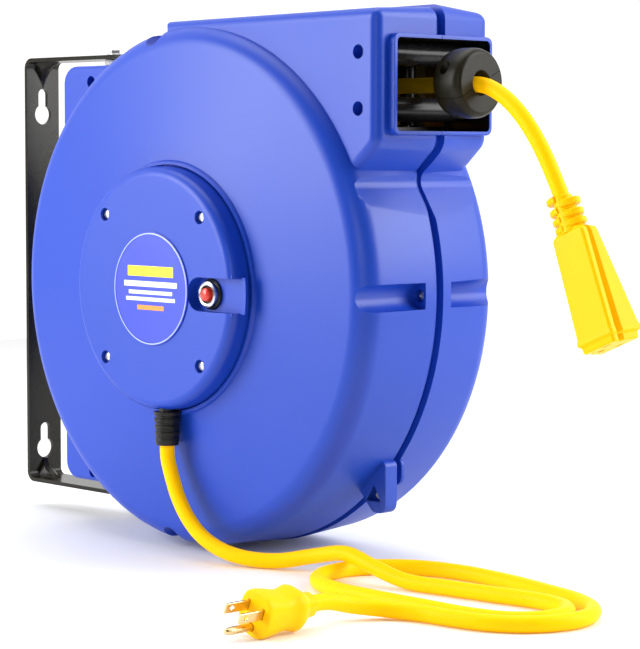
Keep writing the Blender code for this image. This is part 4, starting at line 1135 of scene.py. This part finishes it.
def plug_body():
    """A moulded grip: rounded oval sections that pinch behind the face and swell at the thumb's rest."""
    a = np.linspace(0, math.tau, 48, endpoint=False)
    stations = ((0.0, 6.2, 6.2), (0.8, 6.8, 6.7), (7.0, 7.4, 7.2), (8.2, 8.9, 8.6), (9.5, 9.3, 9.0),
                (12.5, 11.6, 11.0),
                (15.0, 12.6, 12.3), (17.5, 12.9, 12.9), (20.5, 12.3, 12.2), (24.0, 11.5, 11.2),
                (29.0, 11.6, 11.6),
                (35.0, 12.4, 12.9), (41.0, 12.9, 13.8), (PLUG_LENGTH - 1.2, 12.9, 13.8),
                (PLUG_LENGTH - 0.3, 12.5, 13.4),
                (PLUG_LENGTH, 11.8, 12.7))
    rings = []
    for along, wide, high in stations:
        across = wide * np.sign(np.cos(a)) * np.abs(np.cos(a)) ** 0.72
        up = high * np.sign(np.sin(a)) * np.abs(np.sin(a)) ** 0.72
        rings.append(plug_point(across, along, up))
    return skin(rings)


def plug_block(across, along, up):
    """A block on the plug between these limits."""
    a = np.array([across[0], across[1], across[1], across[0]])
    u = np.array([up[0], up[0], up[1], up[1]])
    return skin([plug_point(a, d, u) for d in along])


def plug_dot(along, up):
    """One point of the plug at a distance along it and up on its face."""
    return plug_point(np.zeros(1), along, np.full(1, up))[0]


class REEL_OT_supply(bpy.types.Operator):
    """Builds the strain relief, the supply cord and the plug with its blades and ground pin"""

    bl_idname = "reel.supply"
    bl_label = "Supply Cord"

    def execute(self, context):
        relief = piece("cord_sleeve", strain_relief(), black_nylon(), "casing",
                       "strain_relief")
        path = smooth_route(SUPPLY_ROUTE, 4.0)
        cord = piece("cord_to_wall", tube(path, CORD_R, 24), cord_finish(), "casing",
                     "supply_cord")
        slots = [plug_block((x - 1.1, x + 1.1), (34, 50), (-0.4, 6.8)) for x in (-6.35, 6.35)]
        slots.append(rod(plug_dot(34, -8.2), plug_dot(50, -8.2), 2.8, 24))
        body = piece("plug_grip", cut(plug_body(), *slots), moulded_yellow(), "casing",
                     "plug_body")
        for i, x in ((1, -6.35), (2, 6.35)):
            blade = plug_block((x - 0.75, x + 0.75), (34.4, PLUG_LENGTH + 18), (0.0, 6.4))
            hole = rod(plug_point(np.full(1, x - 3), PLUG_LENGTH + 13, np.full(1, 3.2))[0],
                       plug_point(np.full(1, x + 3), PLUG_LENGTH + 13, np.full(1, 3.2))[0], 1.6, 20)
            piece(f"blade_{i}", cut(blade, hole), brass(), "casing", f"plug_blade_{i}",
                                bevel=0.35)
        pin_path = [plug_dot(d, -8.2) for d in (34.4, PLUG_LENGTH + 15, PLUG_LENGTH + 18, PLUG_LENGTH + 19.4,
                                                 PLUG_LENGTH + 20)]
        pin = piece("earth_pin", tube(pin_path, [2.4, 2.4, 2.1, 1.5, 0.8], 28), brass(), "casing",
                    "ground_pin")
        return {"FINISHED"}


def ball_half(sign):
    """Half of the stop ball: a turned clamp with a flat front, split on a plane through its own axis."""
    bore, front = CORD_R + 0.8, BALL_FRONT
    profile = [(bore, BALL_BACK), (11, BALL_BACK), (14.5, BALL_BACK + 0.8), (18, BALL_BACK + 2.8),
               (20.8, BALL_BACK + 6.0), (22.3, BALL_BACK + 10), (BALL_R, BALL_BACK + 14),
               (BALL_R, front - 6.5),
               (22.5, front - 4.0), (21.7, front - 1.9), (20.6, front - 0.7), (19.4, front - 0.1),
               (18.6, front),
               (8.6, front), (8.2, front - 0.2), (7.6, front - 1.0), (7.3, front - 4.5), (bore, front - 6)]
    ball = turned(profile, 80, "X", hollow=True)
    keep = box((150, 250), (-60, 60), sorted((sign * 0.15, sign * 60)))
    wells = []
    for y in (-14.0, 14.0):
        wells.append(rod((204, y, sign * 9.0), (204, y, sign * 30.0), 3.7, 28))
        wells.append(rod((204, y, -20), (204, y, 20), 2.0, 12))
    turn = Matrix.Rotation(math.radians(BALL_SPLIT), 4, "X")
    half = cut(common(ball, keep), *wells)
    half.transform(Matrix.Translation((0, 0, BALL_Z)) @ turn)
    return half


def ball_screw(y):
    """One of the two screws that hold the stop ball's halves together, with its slot and nut."""
    turn = Matrix.Rotation(math.radians(BALL_SPLIT), 4, "X")
    mesh = joined(rod((204, y, 9.3), (204, y, 12.3), 3.3, 28, 0.5),
                  rod((204, y, -11.5), (204, y, 10), 1.6, 16), rod((204, y, -9.3), (204, y, -11.8), 3.1, 6))
    mesh = cut(mesh, box((201.4, 206.6), (y - 0.45, y + 0.45), (11.2, 14)))
    mesh.transform(Matrix.Translation((0, 0, BALL_Z)) @ turn)
    return mesh


def tap_point(along, across, depth):
    """A point on the tap: along its axis, across it towards its outer side, and towards -Y."""
    side = np.array((-TAP_AXIS[2], 0.0, TAP_AXIS[0]))
    along, across, depth = np.broadcast_arrays(along, across, depth)
    return (np.array(TAP_TOP) + along[..., None] * TAP_AXIS + across[..., None] * side
            - depth[..., None] * np.array((0, 1.0, 0)))


def tap_section(along, wide, deep, wing):
    """A broad block towards -Y, a raised band and a groove on each flank, and wings that widen behind
    them."""
    w, d = wide, deep
    flank = [(w - 2.2, d), (w - 0.9, d - 0.3), (w - 0.3, d - 0.9), (w + 0.1, d - 1.6), (w + 0.1, d - 4.6),
             (w - 0.5, d - 5.4), (w - 2.0, d - 6.0), (w - 2.0, d - 7.4), (w + 0.2 * wing, d - 8.2),
             (w + 0.45 * wing, d - 8.6), (w + wing, 0.6 - d), (w + wing - 0.6, -d)]
    a, b = np.array(flank + [(-a, b) for a, b in reversed(flank)]).T
    return tap_point(along, a, b)


def half_disc(along, thick, side):
    """A rib on one side of the tap's neck: half of an oval plate with softened edges."""
    turn = np.radians(np.linspace(-90, 90, 19))
    rings = []
    for step, shrink in ((0.0, 0.7), (0.7, 0.0), (thick - 0.7, 0.0), (thick, 0.7)):
        across = side * (1.5 + (10.2 - shrink) * np.cos(turn))
        rings.append(tap_point(along + step, across, (7.8 - shrink) * np.sin(turn)))
    return skin(rings)


def tap():
    """The moulded tap: a tapered neck with staggered ribs, then sections that widen towards the outlet
    face."""
    stations = ((17.9, 7.2, 4.6, 0.0), (18.4, 8.4, 5.4, 0.0), (20.6, 11.8, 6.5, 0.2), (21.6, 12.7, 6.9, 0.3),
                (24.0, 13.1, 7.2, 0.5), (55.0, 13.6, 9.4, 2.4), (87.0, 14.2, 11.6, 4.3),
                (88.2, 14.9, 12.2, 4.4),
                (90.6, 15.0, 12.3, 4.3), (91.4, 14.2, 11.5, 3.6), (91.9, 13.4, 10.8, 3.0),
                (95.4, 13.2, 10.6, 2.8),
                (96.2, 12.6, 10.0, 2.4))
    body = skin([tap_section(*station) for station in stations])
    turn = np.linspace(0, math.tau, 36, endpoint=False)
    neck = skin([tap_point(t, wide * np.cos(turn), deep * np.sin(turn)) for t, wide, deep in
                 ((-3.6, 5.6, 5.6), (-3.0, 6.2, 6.2), (4.0, 6.9, 6.6), (12.0, 7.8, 7.0), (20.0, 8.8, 7.2))])
    ribs = [half_disc(t, 4.0, -1) for t in (-4.3, 3.2, 9.4, 15.0)] + [half_disc(t, 4.0, 1) for t in (0.1,
                                                                                                     7.2,
                                                                                                     13.2)]
    slots = []
    for depth in (-6.35, 6.35):
        ring = np.array([(-3.6, -0.9), (3.6, -0.9), (3.6, 0.9), (-3.6, 0.9)])
        slots.append(skin([tap_point(d, 3.0 + ring[:, 0], depth + ring[:, 1]) for d in (80, 100)]))
    slots.append(rod(tap_point(80, -7.0, 0), tap_point(100, -7.0, 0), 2.4, 24))
    return cut(joined(body, neck, *ribs), *slots)


class REEL_OT_cord_end(bpy.types.Operator):
    """Builds the outlet cord, the stop ball clamped on it and the triple tap at its end"""

    bl_idname = "reel.cord_end"
    bl_label = "Cord End"

    def execute(self, context):
        path = smooth_route(OUTLET_ROUTE, 3.0)
        cord = piece("cord_to_tap", tube(path, CORD_R, 24), cord_finish(), "cord_end",
                     "outlet_cord")
        halves = [piece("ball_upper", ball_half(1), grey_nylon(), "cord_end", "stop_ball_upper"),
                  piece("ball_lower", ball_half(-1), grey_nylon(), "cord_end",
                        "stop_ball_lower")]
        screws = [piece(f"ball_fixing_{i}", ball_screw(y), zinc(), "cord_end")
                  for i, y in ((1, -14.0), (2, 14.0))]
        end = piece("tap_body", tap(), moulded_yellow(), "cord_end", "triple_tap")
        return {"FINISHED"}


# ---------------------------------------------------------------- stage


# The camera: where it stands, which way it looks, its lens and its turn about its own line in degrees.
CAMERA_PLACE, VIEW_LINE = (1.4656, -1.1148, 0.0954), (-0.71589, 0.69415, -0.07528)
LENS_MM, CAMERA_ROLL = 128.45, 0.117
# The backdrop's strength, dim to bright, over how far a direction points along the view and upwards.
SKY_LIFT = 0.35
BACKDROP_FADE = {"From Min": -0.35, "From Max": 0.75, "To Min": 0.06, "To Max": 1.15}
# Softboxes: name, place, what it is turned to, size, power in watts.
SOFTBOXES = (
    ("left_softbox", (-0.60, -1.35, 0.55), (0.30, 0, 0.06), (0.9, 1.2), 30.0),
    ("right_softbox", (1.55, 0.95, 0.75), (0.40, 0, 0.0), (0.9, 1.5), 34.0),
    ("top_softbox", (0.0, 0.1, 2.2), (0.3, 0, 0.0), (1.8, 1.8), 26.0),
    ("front_fill", (1.9, -1.9, 0.6), (0.3, 0, 0.0), (0.8, 0.8), 8.0),
)


def softbox(name, place, aim, size, power):
    """A rectangular area light at a place, turned towards its aim."""
    data = bpy.data.lights.new(name, "AREA")
    data.shape = "RECTANGLE"
    data.size, data.size_y = size
    data.energy = power * bpy.context.scene.cord_reel.light_strength
    light = bpy.data.objects.new(name, data)
    light.location = place
    light.rotation_euler = (Vector(aim) - Vector(place)).to_track_quat("-Z", "Y").to_euler()
    bpy.context.scene.collection.objects.link(light)
    return light


def studio_world(forward):
    """A bright backdrop on the far side of the reel that fades to a dim room on the near side."""
    world = bpy.data.worlds.new("Studio")
    world.use_nodes = True
    tree = world.node_tree
    place = tree.nodes.new("ShaderNodeTexCoord")
    facing = tree.nodes.new("ShaderNodeVectorMath")
    facing.operation = "DOT_PRODUCT"
    facing.inputs[1].default_value = (forward.x, forward.y, SKY_LIFT)
    fade = tree.nodes.new("ShaderNodeMapRange")
    fade.interpolation_type = "SMOOTHSTEP"
    for socket, value in BACKDROP_FADE.items():
        fade.inputs[socket].default_value = value
    background = tree.nodes["Background"]
    background.inputs["Color"].default_value = (1.0, 1.0, 1.0, 1.0)
    tree.links.new(place.outputs["Generated"], facing.inputs[0])
    tree.links.new(facing.outputs["Value"], fade.inputs["Value"])
    tree.links.new(fade.outputs["Result"], background.inputs["Strength"])
    return world


class REEL_OT_stage(bpy.types.Operator):
    """Builds the floor, the studio lights and the camera"""

    bl_idname = "reel.stage"
    bl_label = "Studio"

    def execute(self, context):
        scene = context.scene
        forward = Vector(VIEW_LINE).normalized()
        half = scene.cord_reel.floor_size / 2
        a = np.linspace(-half, half, 9)
        x, y = np.meshgrid(a, a, indexing="ij")
        points = np.stack([x, y, np.full_like(x, FLOOR_Z * MM)], -1)
        i, j = np.meshgrid(np.arange(8), np.arange(8), indexing="ij")
        k = (i * 9 + j).reshape(-1, 1)
        mesh = bpy.data.meshes.new("floor")
        mesh.from_pydata(points.reshape(-1, 3).tolist(), [], (k + np.array([0, 9, 10, 1])).tolist())
        mesh.materials.append(finish("Pale Floor", (0.88, 0.88, 0.88), (0.86, 0.86, 0.86), 0.60, 0.06,
                                     grain=60.0, patch=2.0, bump=0.01))
        floor = bpy.data.objects.new("floor", mesh)
        scene.collection.objects.link(floor)
        lights = [softbox(*light) for light in SOFTBOXES]
        scene.world = studio_world(forward)
        scene.view_settings.view_transform = "Standard"
        data = bpy.data.cameras.new("camera")
        data.lens = LENS_MM
        data.sensor_width = 36.0
        data.clip_end = 50.0
        camera = bpy.data.objects.new("camera", data)
        right = forward.cross(Vector((0, 0, 1))).normalized()
        up = right.cross(forward)
        turn = Matrix((right, up, -forward)).transposed().to_4x4()
        roll = Matrix.Rotation(math.radians(CAMERA_ROLL), 4, "Z")
        camera.matrix_world = Matrix.Translation(CAMERA_PLACE) @ turn @ roll
        scene.collection.objects.link(camera)
        scene.camera = camera
        return {"FINISHED"}


OPERATORS = (REEL_OT_bracket, REEL_OT_casing, REEL_OT_hub, REEL_OT_breaker, REEL_OT_mouth, REEL_OT_drum,
             REEL_OT_supply, REEL_OT_cord_end, REEL_OT_stage)


class REEL_PT_panel(bpy.types.Panel):
    """Lists the reel's pieces in the sidebar"""

    bl_label = "Cord Reel"
    bl_idname = "REEL_PT_panel"
    bl_space_type = "VIEW_3D"
    bl_region_type = "UI"
    bl_category = "Cord Reel"

    def draw(self, context):
        settings = context.scene.cord_reel
        for name in ("casing_colour", "cord_colour", "floor_size", "light_strength"):
            self.layout.prop(settings, name)
        for operator in OPERATORS:
            self.layout.operator(operator.bl_idname)


CLASSES = (ReelSettings, *OPERATORS, REEL_PT_panel)


def register():
    """Registers the settings, the operators and the panel."""
    for cls in CLASSES:
        bpy.utils.register_class(cls)
    bpy.types.Scene.cord_reel = PointerProperty(type=ReelSettings)


def unregister():
    """Removes what register() added."""
    del bpy.types.Scene.cord_reel
    for cls in reversed(CLASSES):
        bpy.utils.unregister_class(cls)


def main():
    """Builds the whole scene."""
    register()
    for operator in OPERATORS:
        group, name = operator.bl_idname.split(".")
        getattr(getattr(bpy.ops, group), name)()


if __name__ == "__main__":
    main()
